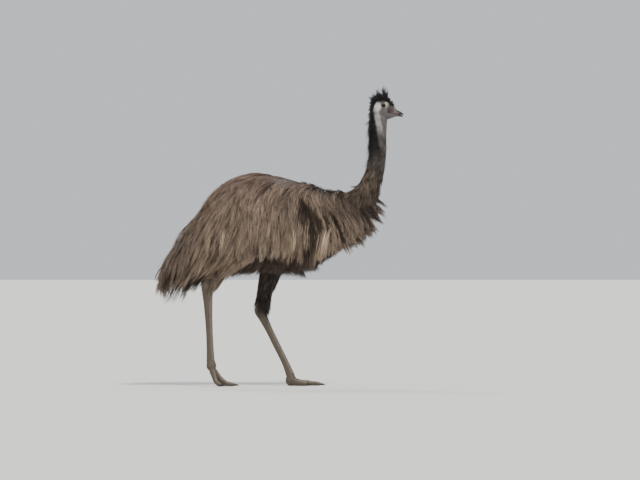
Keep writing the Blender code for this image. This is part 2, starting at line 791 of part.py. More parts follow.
def crest_locks(draw):
    """The upright crest and the bristles behind the head."""
    made = []
    for x, height, spread, count, length, lean in CREST_ROWS:
        for i in range(count):
            share = (i + 0.5) / count * 2 - 1
            tilt = math.radians(lean + draw.uniform(-CREST_LEAN_JITTER, CREST_LEAN_JITTER))
            aim = Vector((-math.sin(tilt), share * CREST_SPLAY, math.cos(tilt))).normalized()
            drop = HEAD_CURVE * (share * spread) ** 2
            stray = draw.uniform(-CREST_STRAY, CREST_STRAY)
            root = Vector((x + stray, share * spread, height - drop))
            reach = length * draw.uniform(*CREST_LENGTHS)
            bend = Vector((-draw.uniform(*CREST_BACK_BEND), 0, -CREST_SAG)) * reach
            out = SIDE if share >= 0 else -SIDE
            path = bent(root - aim * CREST_SINK, aim * reach, bend, out)
            made.append((path, CREST_HALF_WIDTH * draw.uniform(*CREST_WIDTHS)))
    return made


def dressed(core, locks, joined):
    """Fuses a node's locks into its core."""
    for path, half_width in locks:
        lock(path, half_width, joined)
    return boolean(core, "UNION", joined)


def cut_clear(target, locks, cutters):
    """Makes room in the target for locks of another node."""
    for path, half_width in locks:
        lock(path, half_width, cutters, LOCK_CLEAR)
    return boolean(target, "DIFFERENCE", cutters)


def whole_core(home, joined):
    """The core of torso, tail, neck and head as one form, still unparted."""
    body = upright_loft("Body", CORE, BODY_WIDEST, 14, 13, home)
    neck_rows = [(x, 0, z, wide, deep) for x, z, wide, deep in NECK_CORE]
    path_loft("Neck form", smooth_rows(neck_rows, 15), 12, joined)
    upright_loft("Head form", HEAD, HEAD_WIDEST, 16, 10, joined)
    upright_loft("Crest form", CREST, HEAD_WIDEST, 10, 7, joined)
    for side in (RIGHT, LEFT):
        lid(side, joined)
    return boolean(body, "UNION", joined)


def lid(side, home):
    """The raised rim of skin round one eye."""
    centre = EYE.copy()
    centre.y = side * (EYE.y + math.sqrt(EYE_RADIUS**2 - LID_RADIUS**2) + LID_OUT)
    rings = []
    for i in range(LID_PLACES):
        turn = math.tau * i / LID_PLACES
        out = Vector((math.cos(turn), 0, math.sin(turn)))
        ring = []
        for j in range(LID_SIDES):
            roll = math.tau * j / LID_SIDES
            reach = LID_RADIUS + LID_THICKNESS * math.cos(roll)
            ring.append(centre + out * reach + SIDE * LID_THICKNESS * math.sin(roll))
        rings.append(ring)
    bm = bmesh.new()
    loops = [[bm.verts.new(point) for point in ring] for ring in rings]
    for i, loop in enumerate(loops):
        for j in range(len(loop)):
            bm.faces.new((loops[i - 1][j - 1], loops[i - 1][j], loop[j], loop[j - 1]))
    return mesh_object("Lid", bm, home)


def mirrored(point, side):
    return Vector((point.x, point.y * side, point.z))


def carve_face(head, cutters):
    """Sockets, ears and the corner of the mouth."""
    for side in (RIGHT, LEFT):
        socket = EYE_RADIUS + GAP
        ellipsoid("Socket", mirrored(EYE, side), Vector((socket,) * 3), cutters, 8)
        ellipsoid("Ear", mirrored(EAR, side), EAR_SIZE, cutters, 5)
    low = (MOUTH_BACK, -0.05, MOUTH_HEIGHT - MOUTH_SLIT / 2)
    high = (BILL_BASE + 0.01, 0.05, MOUTH_HEIGHT + MOUTH_SLIT / 2)
    block("Mouth", low, high, cutters)
    return boolean(head, "DIFFERENCE", cutters)


def bill(home, cutters):
    """Both halves of the bill, slightly parted, with nostrils in the upper one."""
    upper = upright_loft("bill_upper", BILL_UPPER, UPPER_WIDEST, 12, 8, home)
    lower = upright_loft("bill_lower", BILL_LOWER, LOWER_WIDEST, 12, 8, home)
    for side in (RIGHT, LEFT):
        ellipsoid("Nostril", mirrored(NOSTRIL, side), NOSTRIL_SIZE, cutters, 5)
    boolean(upper, "DIFFERENCE", cutters)
    return [upper, lower]


def sided(stations, side):
    return [(x, side * y, z, wide, deep) for x, y, z, wide, deep in stations]


def toe(name, root, profile, way, stretch, home):
    """One toe, with plates along its top and small flats where it stands."""
    rows = []
    for reach, height, wide, deep in profile:
        place = root + way * reach * stretch
        rows.append((place.x, place.y, height, wide, deep))
    scutes = scuted_rows(rows, TOE_PLAIN, TOE_SCUTES, TOE_SCUTE_RISE)
    return path_loft(name, scutes, TOE_SIDES, home, floor=0.0)


def claw(name, root, profile, way, stretch, home):
    """A horn claw, slightly hooked, that starts at the toe's end."""
    reach, height = profile[-1][:2]
    start = root + way * (reach * stretch + GAP)
    rows = []
    for i in range(CLAW_ROWS):
        share = i / (CLAW_ROWS - 1)
        place = start + way * CLAW_LENGTH * share
        radius = CLAW_RADIUS * (1 - share) ** CLAW_TAPER + CLAW_TIP
        level = max(height - CLAW_HOOK * share**2, radius)
        rows.append((place.x, place.y, level, radius * CLAW_NARROW, radius))
    return path_loft(name, rows, 6, home, floor=0.0)


def foot_ball(name, centre, size, home):
    """The ball of a foot, flat where it stands."""
    made = ellipsoid(name, centre, size, home, 8)
    for vert in made.data.vertices:
        vert.co.z = max(vert.co.z, 0.0)
    return made


def parted(piece, others, cutters):
    """Cuts a piece clear of others that run into it."""
    for other in others:
        boolean(piece, "DIFFERENCE", grown(other, cutters))
    return largest_surface(piece)


def leg(word, plan, group, cutters):
    """Drumstick, bare pieces and claws of one leg."""
    side = plan["side"]
    drumstick = path_loft(
        f"drumstick_{word}", smooth_rows(sided(plan["drumstick"], side), 9), 12, group
    )
    scutes = scuted_rows(sided(plan["shank"], side), SHANK_PLAIN, SHANK_SCUTES, SCUTE_RISE)
    shank = path_loft(f"shank_{word}", scutes, SHANK_SIDES, group)
    parted(shank, [drumstick], cutters)

    end = sided(plan["shank"], side)[-1]
    centre = Vector((end[0] + BALL_AHEAD, end[1], plan["ball_height"]))
    ball = foot_ball(f"foot_{word}", centre, plan["ball"], group)
    bare, claws = [shank, parted(ball, [shank], cutters)], []
    for toe_word, angle, aside in TOES:
        heading = math.radians(angle) * side
        way = Vector((math.cos(heading), math.sin(heading), 0))
        root = Vector((end[0], end[1] + aside * side, 0))
        profile, stretch = plan["toes"][toe_word]
        digit = toe(f"toe_{word}_{toe_word}", root, profile, way, stretch, group)
        bare.append(parted(digit, bare, cutters))
        horn = claw(f"claw_{word}_{toe_word}", root, profile, way, stretch, group)
        claws.append(parted(horn, [digit], cutters))
    return drumstick, bare, claws


def wing_locks(side, draw):
    """The thin plumes of one small wing."""
    made = []
    for i in range(WING_PLUMES):
        share = i / (WING_PLUMES - 1)
        root = WING_ARM[1] * (1 - share) + WING_ARM[2] * share
        tip = WING_TIPS[0] * (1 - share) + WING_TIPS[1] * share
        tip += Vector([draw.uniform(-stray, stray) for stray in WING_STRAY])
        bow = Vector((0, WING_BOW[i % 2], 0))
        ways = (root, tip - root + bow, -bow)
        path = bent(*(mirrored(way, side) for way in ways), SIDE * side)
        made.append((path, WING_PLUME_HALF_WIDTH * draw.uniform(*WING_WIDTHS)))
    return made


def wing(side, word, plumes, torso, group, joined, cutters):
    """The small folded wing that hangs at the shoulder, with room for it in the torso."""
    rows = [(*mirrored(place, side), wide, deep) for place, wide, deep in WING_ROWS]
    arm = path_loft(f"wing_{word}", smooth_rows(rows, 6), 8, group)
    grown(arm, cutters)
    cut_clear(torso, plumes, cutters)
    return largest_surface(dressed(arm, plumes, joined))


def build():
    clear_scene()
    group = collection("Emu")
    joined = collection("Joined pieces", shown=False)
    cutters = collection("Cutters", shown=False)
    coat = finish("Feathers", FEATHER_BROWN, 0.85)
    black = finish("Black plumes", CREST_BLACK, 0.8)
    skin = finish("Face skin", FACE_PALE, 0.6)
    horn = finish("Bill horn", BILL_GREY, 0.45)
    gloss = finish("Eye", EYE_BROWN, 0.08)
    scaly = finish("Shank scales", SHANK_BROWN, 0.6)
    nail = finish("Claw horn", CLAW_BLACK, 0.4)

    draw = random.Random(SEED)
    locks = neck_locks(draw) | {"head": crest_locks(draw)}
    for node, more in body_locks(draw).items():
        locks[node] = locks.get(node, []) + more
    plumes = {side: wing_locks(side, draw) for side in (RIGHT, LEFT)}
    whole = whole_core(group, joined)
    places = (group, joined, cutters)
    tail = feathered(whole, "tail", None, TAIL_CUT, locks["tail"], locks["torso"], *places)
    torso = feathered(whole, "torso", TAIL_CUT, NECK_CUT, locks["torso"], locks["neck_lower"], *places)
    lower = feathered(
        whole, "neck_lower", NECK_CUT, NAPE_CUT, locks["neck_lower"], locks["neck_upper"], *places
    )
    upper = feathered(
        whole, "neck_upper", NAPE_CUT, THROAT_CUT, locks["neck_upper"], locks["head"], *places
    )
    head = feathered(whole, "head", THROAT_CUT, None, locks["head"], None, *places)
    bpy.data.objects.remove(whole)
    carve_face(head, cutters)
    largest_surface(head)
    for piece in (tail, torso, lower):
        paint(piece, coat)
    paint(upper, black)
    paint(head, skin)

    for piece in bill(group, cutters):
        paint(piece, horn)
    for side, word in ((RIGHT, "right"), (LEFT, "left")):
        ball = ellipsoid(f"eye_{word}", mirrored(EYE, side), Vector((EYE_RADIUS,) * 3), group, 8)
        paint(ball, gloss)
        paint(wing(side, word, plumes[side], torso, group, joined, cutters), coat)
    for word, plan in LEGS.items():
        drumstick, bare, claws = leg(word, plan, group, cutters)
        parted(torso, [drumstick], cutters)
        paint(drumstick, coat)
        for piece in bare:
            paint(piece, scaly)
        for piece in claws:
            paint(piece, nail)


build()
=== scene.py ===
# %% [markdown]
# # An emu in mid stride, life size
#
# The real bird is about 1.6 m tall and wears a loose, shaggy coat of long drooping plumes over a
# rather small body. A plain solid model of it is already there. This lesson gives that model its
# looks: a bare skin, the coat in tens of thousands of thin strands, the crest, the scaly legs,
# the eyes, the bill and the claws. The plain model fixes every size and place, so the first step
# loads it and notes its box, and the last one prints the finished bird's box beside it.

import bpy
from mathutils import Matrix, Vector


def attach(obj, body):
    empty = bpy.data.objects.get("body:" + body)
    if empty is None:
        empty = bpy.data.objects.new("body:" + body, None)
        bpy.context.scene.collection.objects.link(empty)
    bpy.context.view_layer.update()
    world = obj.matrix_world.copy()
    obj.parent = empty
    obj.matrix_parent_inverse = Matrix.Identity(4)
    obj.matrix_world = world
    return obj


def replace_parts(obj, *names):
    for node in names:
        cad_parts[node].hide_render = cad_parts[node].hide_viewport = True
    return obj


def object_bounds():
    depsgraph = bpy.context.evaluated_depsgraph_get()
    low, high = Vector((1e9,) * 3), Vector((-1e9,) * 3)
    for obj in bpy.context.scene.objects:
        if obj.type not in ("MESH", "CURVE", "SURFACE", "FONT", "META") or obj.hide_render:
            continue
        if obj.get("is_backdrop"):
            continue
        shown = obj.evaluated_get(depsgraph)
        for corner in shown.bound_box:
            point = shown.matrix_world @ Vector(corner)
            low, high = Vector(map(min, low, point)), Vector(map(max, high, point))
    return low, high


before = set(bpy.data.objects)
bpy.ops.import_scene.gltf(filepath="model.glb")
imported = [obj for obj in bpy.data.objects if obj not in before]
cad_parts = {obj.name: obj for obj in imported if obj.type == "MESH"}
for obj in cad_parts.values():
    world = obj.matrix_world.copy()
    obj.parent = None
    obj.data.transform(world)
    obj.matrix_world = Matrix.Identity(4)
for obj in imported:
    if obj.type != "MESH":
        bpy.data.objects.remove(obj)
plain_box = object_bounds()
print("plain model:", len(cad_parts), "nodes")

# %% [markdown]
# Everything random is drawn from one seeded generator, so that each run grows the same coat. The
# long tables of points are worked out with numpy, because a loop over fifty thousand strands in
# plain Python would take minutes.

# %% Tools and constants
import json
import math

import bmesh
import bpy
import numpy as np
from mathutils import Vector

SEED = 7
dice = np.random.default_rng(SEED)
SIDE = np.array((0.0, 1.0, 0.0))
DOWN = np.array((0.0, 0.0, -1.0))
RIGHT, LEFT = -1, 1
WORDS = {RIGHT: "right", LEFT: "left"}
PHOTO_WIDE, PHOTO_HIGH = 640, 480

# %% [markdown]
# ## The camera
#
# The bird stands in the open, far from the lens, so it is seen almost without perspective. A long
# lens 30 m away does the same. The camera looks along +Y at the bird's right side, level with its
# belly. A real size for each photo pixel turns the picture's middle and width into metres.

# %% Camera
METRES_PER_PIXEL = 0.0054
BIRD_PIXEL_X, GROUND_PIXEL_Y = 278.5, 386.0  # where the model's origin falls in the picture
CAMERA_DISTANCE = 30.0

lens_data = bpy.data.cameras.new("camera")
camera = bpy.data.objects.new("camera", lens_data)
bpy.context.collection.objects.link(camera)
view_x = (PHOTO_WIDE / 2 - BIRD_PIXEL_X) * METRES_PER_PIXEL
view_z = (GROUND_PIXEL_Y - PHOTO_HIGH / 2) * METRES_PER_PIXEL
camera.location = (view_x, -CAMERA_DISTANCE, view_z)
camera.rotation_euler = (math.radians(90), 0, 0)
lens_data.lens = lens_data.sensor_width * CAMERA_DISTANCE / (PHOTO_WIDE * METRES_PER_PIXEL)
lens_data.clip_end = 200
bpy.context.scene.camera = camera
print("camera looks at x %.2f, z %.2f with a %.0f mm lens" % (view_x, view_z, lens_data.lens))

# %% [markdown]
# ## Light and floor
#
# A plain studio shows the coat best. A large soft sun stands high on the camera's side, as the
# real one did, and shades the gaps between the locks. The sky fills in from everywhere, and a
# weaker second sun from behind draws the edge of the back and the crest.

# %% Studio
FLOOR_HALF = 80.0
FLOOR_GREY = (0.80, 0.79, 0.77)
SKY_GREY = (0.86, 0.89, 0.93)
SKY_STRENGTH = 0.80
# where each sun stands, its strength, its softness in degrees and its colour
SUNS = {
    "sun_key": ((1.6, -3.0, 4.6), 2.9, 9.0, (1.0, 0.955, 0.89)),
    "sun_rim": ((-1.5, 4.0, 3.2), 0.9, 14.0, (0.95, 0.97, 1.0)),
}

world = bpy.data.worlds.new("studio")
world.use_nodes = True
sky = world.node_tree.nodes["Background"]
sky.inputs["Color"].default_value = (*SKY_GREY, 1)
sky.inputs["Strength"].default_value = SKY_STRENGTH
bpy.context.scene.world = world
for name, (place, strength, softness, colour) in SUNS.items():
    sun_data = bpy.data.lights.new(name, "SUN")
    sun_data.energy, sun_data.color = strength, colour
    sun_data.angle = math.radians(softness)
    sun = bpy.data.objects.new(name, sun_data)
    sun.rotation_euler = (-Vector(place)).to_track_quat("-Z", "Y").to_euler()
    bpy.context.collection.objects.link(sun)
bpy.ops.mesh.primitive_plane_add(size=2 * FLOOR_HALF)
floor = bpy.context.object
floor.name = "floor"
floor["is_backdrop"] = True
print("suns:", ", ".join(SUNS))

# %% [markdown]
# ## Shader sums
#
# A material is a sheet of nodes, and wiring them one by one hides what is meant. The class below
# wraps one socket, so that `mask * 0.5 + noise` adds the Math nodes by itself. Colours and
# vectors never pass through a Math node, which would turn them grey: they go through Mix and
# Vector Math, made by `node` like every other kind.


# %% A socket that can be summed
class Wire:
    """One output socket of a material, ready for use in a sum."""

    def __init__(self, tree, socket):
        self.tree, self.socket = tree, socket

    def __add__(self, other):
        return maths(self.tree, "ADD", self, other)

    def __sub__(self, other):
        return maths(self.tree, "SUBTRACT", self, other)

    def __rsub__(self, other):
        return maths(self.tree, "SUBTRACT", other, self)

    def __mul__(self, other):
        return maths(self.tree, "MULTIPLY", self, other)

    def __truediv__(self, other):
        return maths(self.tree, "DIVIDE", self, other)

    __radd__, __rmul__ = __add__, __mul__

    def size(self):
        return maths(self.tree, "ABSOLUTE", self)

    def most(self, other):
        return maths(self.tree, "MAXIMUM", self, other)

    def least(self, other):
        return maths(self.tree, "MINIMUM", self, other)


def maths(tree, operation, *values):
    return node(tree, "ShaderNodeMath", {"operation": operation}, dict(enumerate(values)))


def node(tree, kind, settings=None, inputs=None, output=0):
    """Adds a node: first its settings, then the values or links of its sockets."""
    made = tree.nodes.new(kind)
    for key, value in (settings or {}).items():
        setattr(made, key, value)
    for key, value in (inputs or {}).items():
        if isinstance(value, Wire):
            tree.links.new(value.socket, made.inputs[key])
        else:
            made.inputs[key].default_value = value
    return Wire(tree, made.outputs[output])


def smoothstep(wire, start, end):
    """0 before start, 1 after end, and a soft rise between them."""
    settings = {"interpolation_type": "SMOOTHSTEP"}
    return node(wire.tree, "ShaderNodeMapRange", settings, {0: wire, 1: start, 2: end})


def mix(mask, first, second):
    """The first colour where the mask is 0 and the second where it is 1."""
    first, second = [c if isinstance(c, Wire) else (*c, 1) for c in (first, second)]
    inputs = {0: mask, 6: first, 7: second}
    return node(mask.tree, "ShaderNodeMix", {"data_type": "RGBA"}, inputs, output=2)


def noise(tree, where, scale, detail=3.0):
    return node(tree, "ShaderNodeTexNoise", {}, {"Vector": where, "Scale": scale, "Detail": detail})


def attribute(tree, name):
    """A number that each point of a strand carries."""
    return node(tree, "ShaderNodeAttribute", {"attribute_name": name}, output=2)


def position(tree):
    """A point's place on the model, in metres."""
    return node(tree, "ShaderNodeTexCoord", output=3)


def split(where):
    return [node(where.tree, "ShaderNodeSeparateXYZ", {}, {0: where}, output=k) for k in range(3)]


def folded(tree):
    """The place with the bird's left side laid over its right one."""
    x, y, z = split(position(tree))
    return node(tree, "ShaderNodeCombineXYZ", {}, {0: x, 1: y.size(), 2: z})


def shaken(where, scale, amount):
    """The place moved a little each way by noise, so that a mark's edge wanders."""
    tree = where.tree
    settings = {"Vector": where, "Scale": scale, "Detail": 3.0}
    colour = node(tree, "ShaderNodeTexNoise", {}, settings, output=1)
    centred = node(tree, "ShaderNodeVectorMath", {"operation": "SUBTRACT"}, {0: colour, 1: (0.5,) * 3})
    moved = {0: centred, 1: (amount,) * 3, 2: where}
    return node(tree, "ShaderNodeVectorMath", {"operation": "MULTIPLY_ADD"}, moved)


def near(where, centre, sizes, core=0.3):
    """1 inside the core of an ellipsoid, fading to 0 at its surface."""
    tree = where.tree
    away = node(tree, "ShaderNodeVectorMath", {"operation": "SUBTRACT"}, {0: where, 1: centre})
    shares = node(tree, "ShaderNodeVectorMath", {"operation": "DIVIDE"}, {0: away, 1: sizes})
    far = node(tree, "ShaderNodeVectorMath", {"operation": "LENGTH"}, {0: shares}, output=1)
    return 1.0 - smoothstep(far, core, 1.0)


def finish(name, paint, **constants):
    """A Principled material. paint returns what varies, and the constants stay on their sockets."""
    material = bpy.data.materials.new(name)
    material.use_nodes = True
    tree = material.node_tree
    shader = tree.nodes["Principled BSDF"]
    for key, value in constants.items():
        shader.inputs[key.replace("_", " ")].default_value = value
    for key, wire in paint(tree).items():
        tree.links.new(wire.socket, shader.inputs[key.replace("_", " ")])
    return material


def bump(tree, height, distance, strength=1.0):
    inputs = {"Height": height, "Distance": distance, "Strength": strength}
    return node(tree, "ShaderNodeBump", {}, inputs)


print("shader tools ready")

# %% [markdown]
# The floor's finish is the first use of them: a pale sheet of paper with hardly any grain. Its
# faint clouding keeps a large plain surface from looking like a hole in the picture.


# %% Floor finish
def floor_paint(tree):
    cloud = noise(tree, position(tree), 0.8)
    darker = tuple(0.96 * part for part in FLOOR_GREY)
    return {"Base Color": mix(cloud, FLOOR_GREY, darker)}


floor.data.materials.append(finish("studio_floor", floor_paint, Roughness=0.9))
print("floor painted")

# %% [markdown]
# ## The bird's forms
#
# The trunk is read from two tables of stations, from tail to breast: the skin, and the outline
# that the plume tips reach. A smooth curve runs through each table. A place on the trunk is given
# by its x, its turn round from the spine, and its depth: 0 on the skin, 1 at the plume tips. That
# way skin and coat come from one description and can't drift apart.

# %% Stations of the trunk
# x, top, bottom, half width
TIPS = [
    (-0.668, 0.590, 0.520, 0.020),
    (-0.613, 0.732, 0.490, 0.080),
    (-0.541, 0.836, 0.510, 0.125),
    (-0.438, 0.956, 0.560, 0.175),
    (-0.335, 1.070, 0.590, 0.203),
    (-0.231, 1.139, 0.615, 0.221),
    (-0.107, 1.157, 0.625, 0.230),
    (0.027, 1.133, 0.622, 0.225),
    (0.182, 1.093, 0.625, 0.205),
    (0.285, 1.062, 0.680, 0.175),
    (0.380, 1.050, 0.760, 0.140),
    (0.460, 1.020, 0.800, 0.100),
    (0.530, 0.960, 0.890, 0.030),
]
SKIN = [
    (-0.600, 0.652, 0.622, 0.012),
    (-0.520, 0.770, 0.670, 0.045),
    (-0.450, 0.870, 0.650, 0.100),
    (-0.350, 1.000, 0.655, 0.155),
    (-0.231, 1.103, 0.668, 0.182),
    (-0.107, 1.127, 0.678, 0.192),
    (0.027, 1.100, 0.680, 0.187),
    (0.182, 1.062, 0.700, 0.167),
    (0.285, 1.036, 0.740, 0.142),
    (0.380, 1.025, 0.800, 0.110),
    (0.450, 1.000, 0.850, 0.073),
    (0.500, 0.955, 0.890, 0.025),
]
WIDEST = 0.38  # share of the height at which the trunk is widest
TABLE_ROWS = 160


def smooth_rows(stations, count):
    """Rows at even steps along a smooth curve through the stations."""
    rows = np.array(stations, float)
    runs = np.linalg.norm(np.diff(rows[:, :3], axis=0), axis=1)
    along = np.concatenate([[0], np.cumsum(runs)])
    slopes = np.gradient(rows, along, axis=0)
    where = np.linspace(0, along[-1], count)
    i = np.clip(np.searchsorted(along, where, side="right") - 1, 0, len(rows) - 2)
    span = (along[i + 1] - along[i])[:, None]
    t = (where - along[i])[:, None] / span
    start = rows[i] * (2 * t**3 - 3 * t**2 + 1) + slopes[i] * span * (t**3 - 2 * t**2 + t)
    end = rows[i + 1] * (3 * t**2 - 2 * t**3) + slopes[i + 1] * span * (t**3 - t**2)
    return start + end


def barrel_form(inner, outer, widest):
    """Gives points of a barrel by x, turn from its top and depth, for many at once."""
    tables = [smooth_rows(rows, TABLE_ROWS) for rows in (inner, outer)]

    def place(x, turn, depth):
        levels = []
        for rows in tables:
            top, bottom, half = (np.interp(x, rows[:, 0], rows[:, k]) for k in (1, 2, 3))
            middle = bottom + (top - bottom) * widest
            reach = np.where(np.cos(turn) > 0, top - middle, middle - bottom)
            levels.append(np.stack([x, half * np.sin(turn), middle + reach * np.cos(turn)], -1))
        return levels[0] + (levels[1] - levels[0]) * np.asarray(depth)[..., None]

    return place


trunk = barrel_form(SKIN, TIPS, WIDEST)
print("trunk is", round(float(trunk(-0.107, 1.57, 1.0)[1]) * 2, 3), "m wide at the plume tips")

# %% [markdown]
# Neck, legs and toes are limbs: a bent line of stations with a half width and a half depth each.
# Here a place is given by the share of the way along, the turn round from the limb's front or
# top, and the depth in shares of the way out to the tips.

# %% Stations of the limbs
# x, y, height, half width, half depth
NECK_SKIN = [
    (0.330, 0, 0.930, 0.075, 0.075),
    (0.415, 0, 0.985, 0.062, 0.066),
    (0.472, 0, 1.055, 0.046, 0.052),
    (0.507, 0, 1.120, 0.038, 0.043),
    (0.531, 0, 1.190, 0.034, 0.038),
    (0.541, 0, 1.275, 0.031, 0.037),
    (0.544, 0, 1.355, 0.0300, 0.0375),
    (0.548, 0, 1.430, 0.0285, 0.0365),
    (0.555, 0, 1.490, 0.022, 0.028),
]
NECK_TIPS = [
    (0.330, 0, 0.930, 0.095, 0.095),
    (0.424, 0, 0.990, 0.088, 0.086),
    (0.490, 0, 1.060, 0.062, 0.061),
    (0.509, 0, 1.120, 0.050, 0.053),
    (0.531, 0, 1.190, 0.043, 0.046),
    (0.538, 0, 1.275, 0.038, 0.045),
    (0.539, 0, 1.355, 0.034, 0.044),
    (0.544, 0, 1.430, 0.031, 0.0425),
    (0.552, 0, 1.490, 0.023, 0.031),
]
DRUMSTICKS = {
    RIGHT: [
        (-0.070, 0.105, 0.780, 0.056, 0.074),
        (-0.130, 0.108, 0.748, 0.052, 0.060),
        (-0.210, 0.106, 0.693, 0.042, 0.045),
        (-0.300, 0.102, 0.622, 0.030, 0.032),
        (-0.364, 0.098, 0.565, 0.0215, 0.0265),
    ],
    LEFT: [
        (0.000, 0.105, 0.760, 0.056, 0.074),
        (-0.022, 0.103, 0.690, 0.050, 0.064),
        (-0.050, 0.098, 0.590, 0.038, 0.047),
        (-0.078, 0.092, 0.490, 0.027, 0.033),
        (-0.094, 0.089, 0.430, 0.0215, 0.0265),
    ],
}
SHANKS = {
    RIGHT: [
        (-0.3590, 0.0983, 0.5690, 0.0215, 0.0255),
        (-0.3810, 0.0970, 0.5450, 0.0260, 0.0330),
        (-0.3820, 0.0955, 0.5150, 0.0235, 0.0300),
        (-0.3795, 0.0920, 0.4550, 0.0180, 0.0245),
        (-0.3738, 0.0870, 0.3350, 0.0145, 0.0190),
        (-0.3680, 0.0825, 0.2030, 0.0155, 0.0190),
        (-0.3650, 0.0800, 0.1280, 0.0205, 0.0220),
    ],
    LEFT: [
        (-0.0920, 0.0893, 0.4370, 0.0215, 0.0255),
        (-0.0990, 0.0880, 0.4050, 0.0260, 0.0320),
        (-0.0880, 0.0865, 0.3780, 0.0225, 0.0265),
        (-0.0630, 0.0830, 0.3250, 0.0160, 0.0205),
        (-0.0100, 0.0760, 0.2170, 0.0145, 0.0185),
        (0.0430, 0.0700, 0.1080, 0.0155, 0.0190),
        (0.0630, 0.0670, 0.0580, 0.0205, 0.0225),
    ],
}
WING_ARM = [
    (0.270, 0.070, 0.975, 0.015, 0.018),
    (0.245, 0.134, 0.905, 0.014, 0.017),
    (0.165, 0.154, 0.865, 0.007, 0.009),
]
NUDGE = 0.004  # how far apart a form is read to find its slope
THIGH_FLUFF, PLATE_ROOM, WING_FLUFF = 0.010, 0.001, 0.006
FRONT, TOP = (1.0, 0.0, 0.0), (0.0, 0.0, 1.0)


def unit(vectors):
    return vectors / np.maximum(np.linalg.norm(vectors, axis=-1, keepdims=True), 1e-12)


def sided(rows, side):
    return [(x, y * side, *rest) for x, y, *rest in rows]


def fluffed(rows, by):
    return [(x, y, z, wide + by, deep + by) for x, y, z, wide, deep in rows]


def limb_form(inner, outer, facing=FRONT):
    """Gives points of a limb by share of the way, turn from where it faces and depth."""
    tables = [smooth_rows(rows, TABLE_ROWS) for rows in (inner, outer)]
    shares = np.linspace(0, 1, TABLE_ROWS)
    hint = np.array(facing)

    def read(rows, share, columns):
        return np.stack([np.interp(share, shares, rows[:, k]) for k in columns], -1)

    def place(share, turn, depth):
        inside = np.clip(share, NUDGE, 1 - NUDGE)
        levels = []
        for rows in tables:
            sizes = read(rows, share, (3, 4))
            before, after = [read(rows, inside + step, (0, 1, 2)) for step in (-NUDGE, NUDGE)]
            ahead = unit(after - before)
            front = unit(hint - ahead * (ahead @ hint)[..., None])
            across = np.cross(ahead, front)
            out = across * (sizes[..., 0] * np.sin(turn))[..., None]
            out = out + front * (sizes[..., 1] * np.cos(turn))[..., None]
            levels.append(read(rows, share, (0, 1, 2)) + out)
        return levels[0] + (levels[1] - levels[0]) * np.asarray(depth)[..., None]

    return place


def fluffed_limb(rows, side, by, facing=FRONT):
    rows = sided(rows, side)
    return limb_form(rows, fluffed(rows, by), facing)


neck = limb_form(NECK_SKIN, NECK_TIPS)
drumsticks = {side: fluffed_limb(DRUMSTICKS[side], side, THIGH_FLUFF) for side in WORDS}
shanks = {side: fluffed_limb(SHANKS[side], side, PLATE_ROOM) for side in WORDS}
wings = {side: fluffed_limb(WING_ARM, side, WING_FLUFF) for side in WORDS}
print("limbs: neck,", len(drumsticks), "drumsticks,", len(shanks), "shanks,", len(wings), "wings")

# %% [markdown]
# The toes spread from a hub below each shank. The left foot stands flat. The right one has just
# left its heel behind, so its toes come down steeply to their tips.

# %% Stations of the toes
# reach from the hub, height, half width, half height
FLAT_TOE = [
    (0.010, 0.0250, 0.0105, 0.0185),
    (0.040, 0.0195, 0.0130, 0.0180),
    (0.070, 0.0155, 0.0140, 0.0150),
    (0.095, 0.0145, 0.0145, 0.0155),
    (0.118, 0.0120, 0.0123, 0.0127),
    (0.142, 0.0110, 0.0115, 0.0120),
    (0.160, 0.0095, 0.0082, 0.0092),
]
TIPTOE = [
    (0.006, 0.1000, 0.0105, 0.0165),
    (0.026, 0.0720, 0.0120, 0.0165),
    (0.044, 0.0480, 0.0125, 0.0150),
    (0.064, 0.0280, 0.0135, 0.0150),
    (0.086, 0.0150, 0.0123, 0.0135),
    (0.108, 0.0110, 0.0113, 0.0120),
    (0.124, 0.0095, 0.0082, 0.0092),
]
TIPTOE_SIDE = [
    (0.002, 0.0980, 0.0100, 0.0145),
    (0.012, 0.0720, 0.0110, 0.0145),
    (0.021, 0.0520, 0.0113, 0.0133),
    (0.029, 0.0330, 0.0117, 0.0127),
    (0.041, 0.0180, 0.0110, 0.0120),
    (0.056, 0.0105, 0.0095, 0.0110),
    (0.066, 0.0092, 0.0078, 0.0091),
]
# turn away from the body in degrees, root aside from the middle of the hub
TOES = {"inner": (-30, -0.013), "middle": (-2, 0.0), "outer": (28, 0.013)}
SIDE_TOE_SHARE = 0.68  # reach of a flat side toe beside the middle one
FEET = {
    RIGHT: {
        "profiles": {"inner": (TIPTOE_SIDE, 1), "middle": (TIPTOE, 1), "outer": (TIPTOE_SIDE, 1)},
        "ball": (0.027, 0.029, 0.030),
        "ball_height": 0.112,
    },
    LEFT: {
        "profiles": {
            "inner": (FLAT_TOE, SIDE_TOE_SHARE),
            "middle": (FLAT_TOE, 1),
            "outer": (FLAT_TOE, SIDE_TOE_SHARE),
        },
        "ball": (0.030, 0.030, 0.033),
        "ball_height": 0.030,
    },
}
BALL_AHEAD = 0.004
CLAW_LENGTH, CLAW_RADIUS, CLAW_NARROW, CLAW_TAPER = 0.030, 0.0075, 0.85, 0.7
CLAW_TIP, CLAW_HOOK, CLAW_START = 0.0008, 0.0045, -0.002


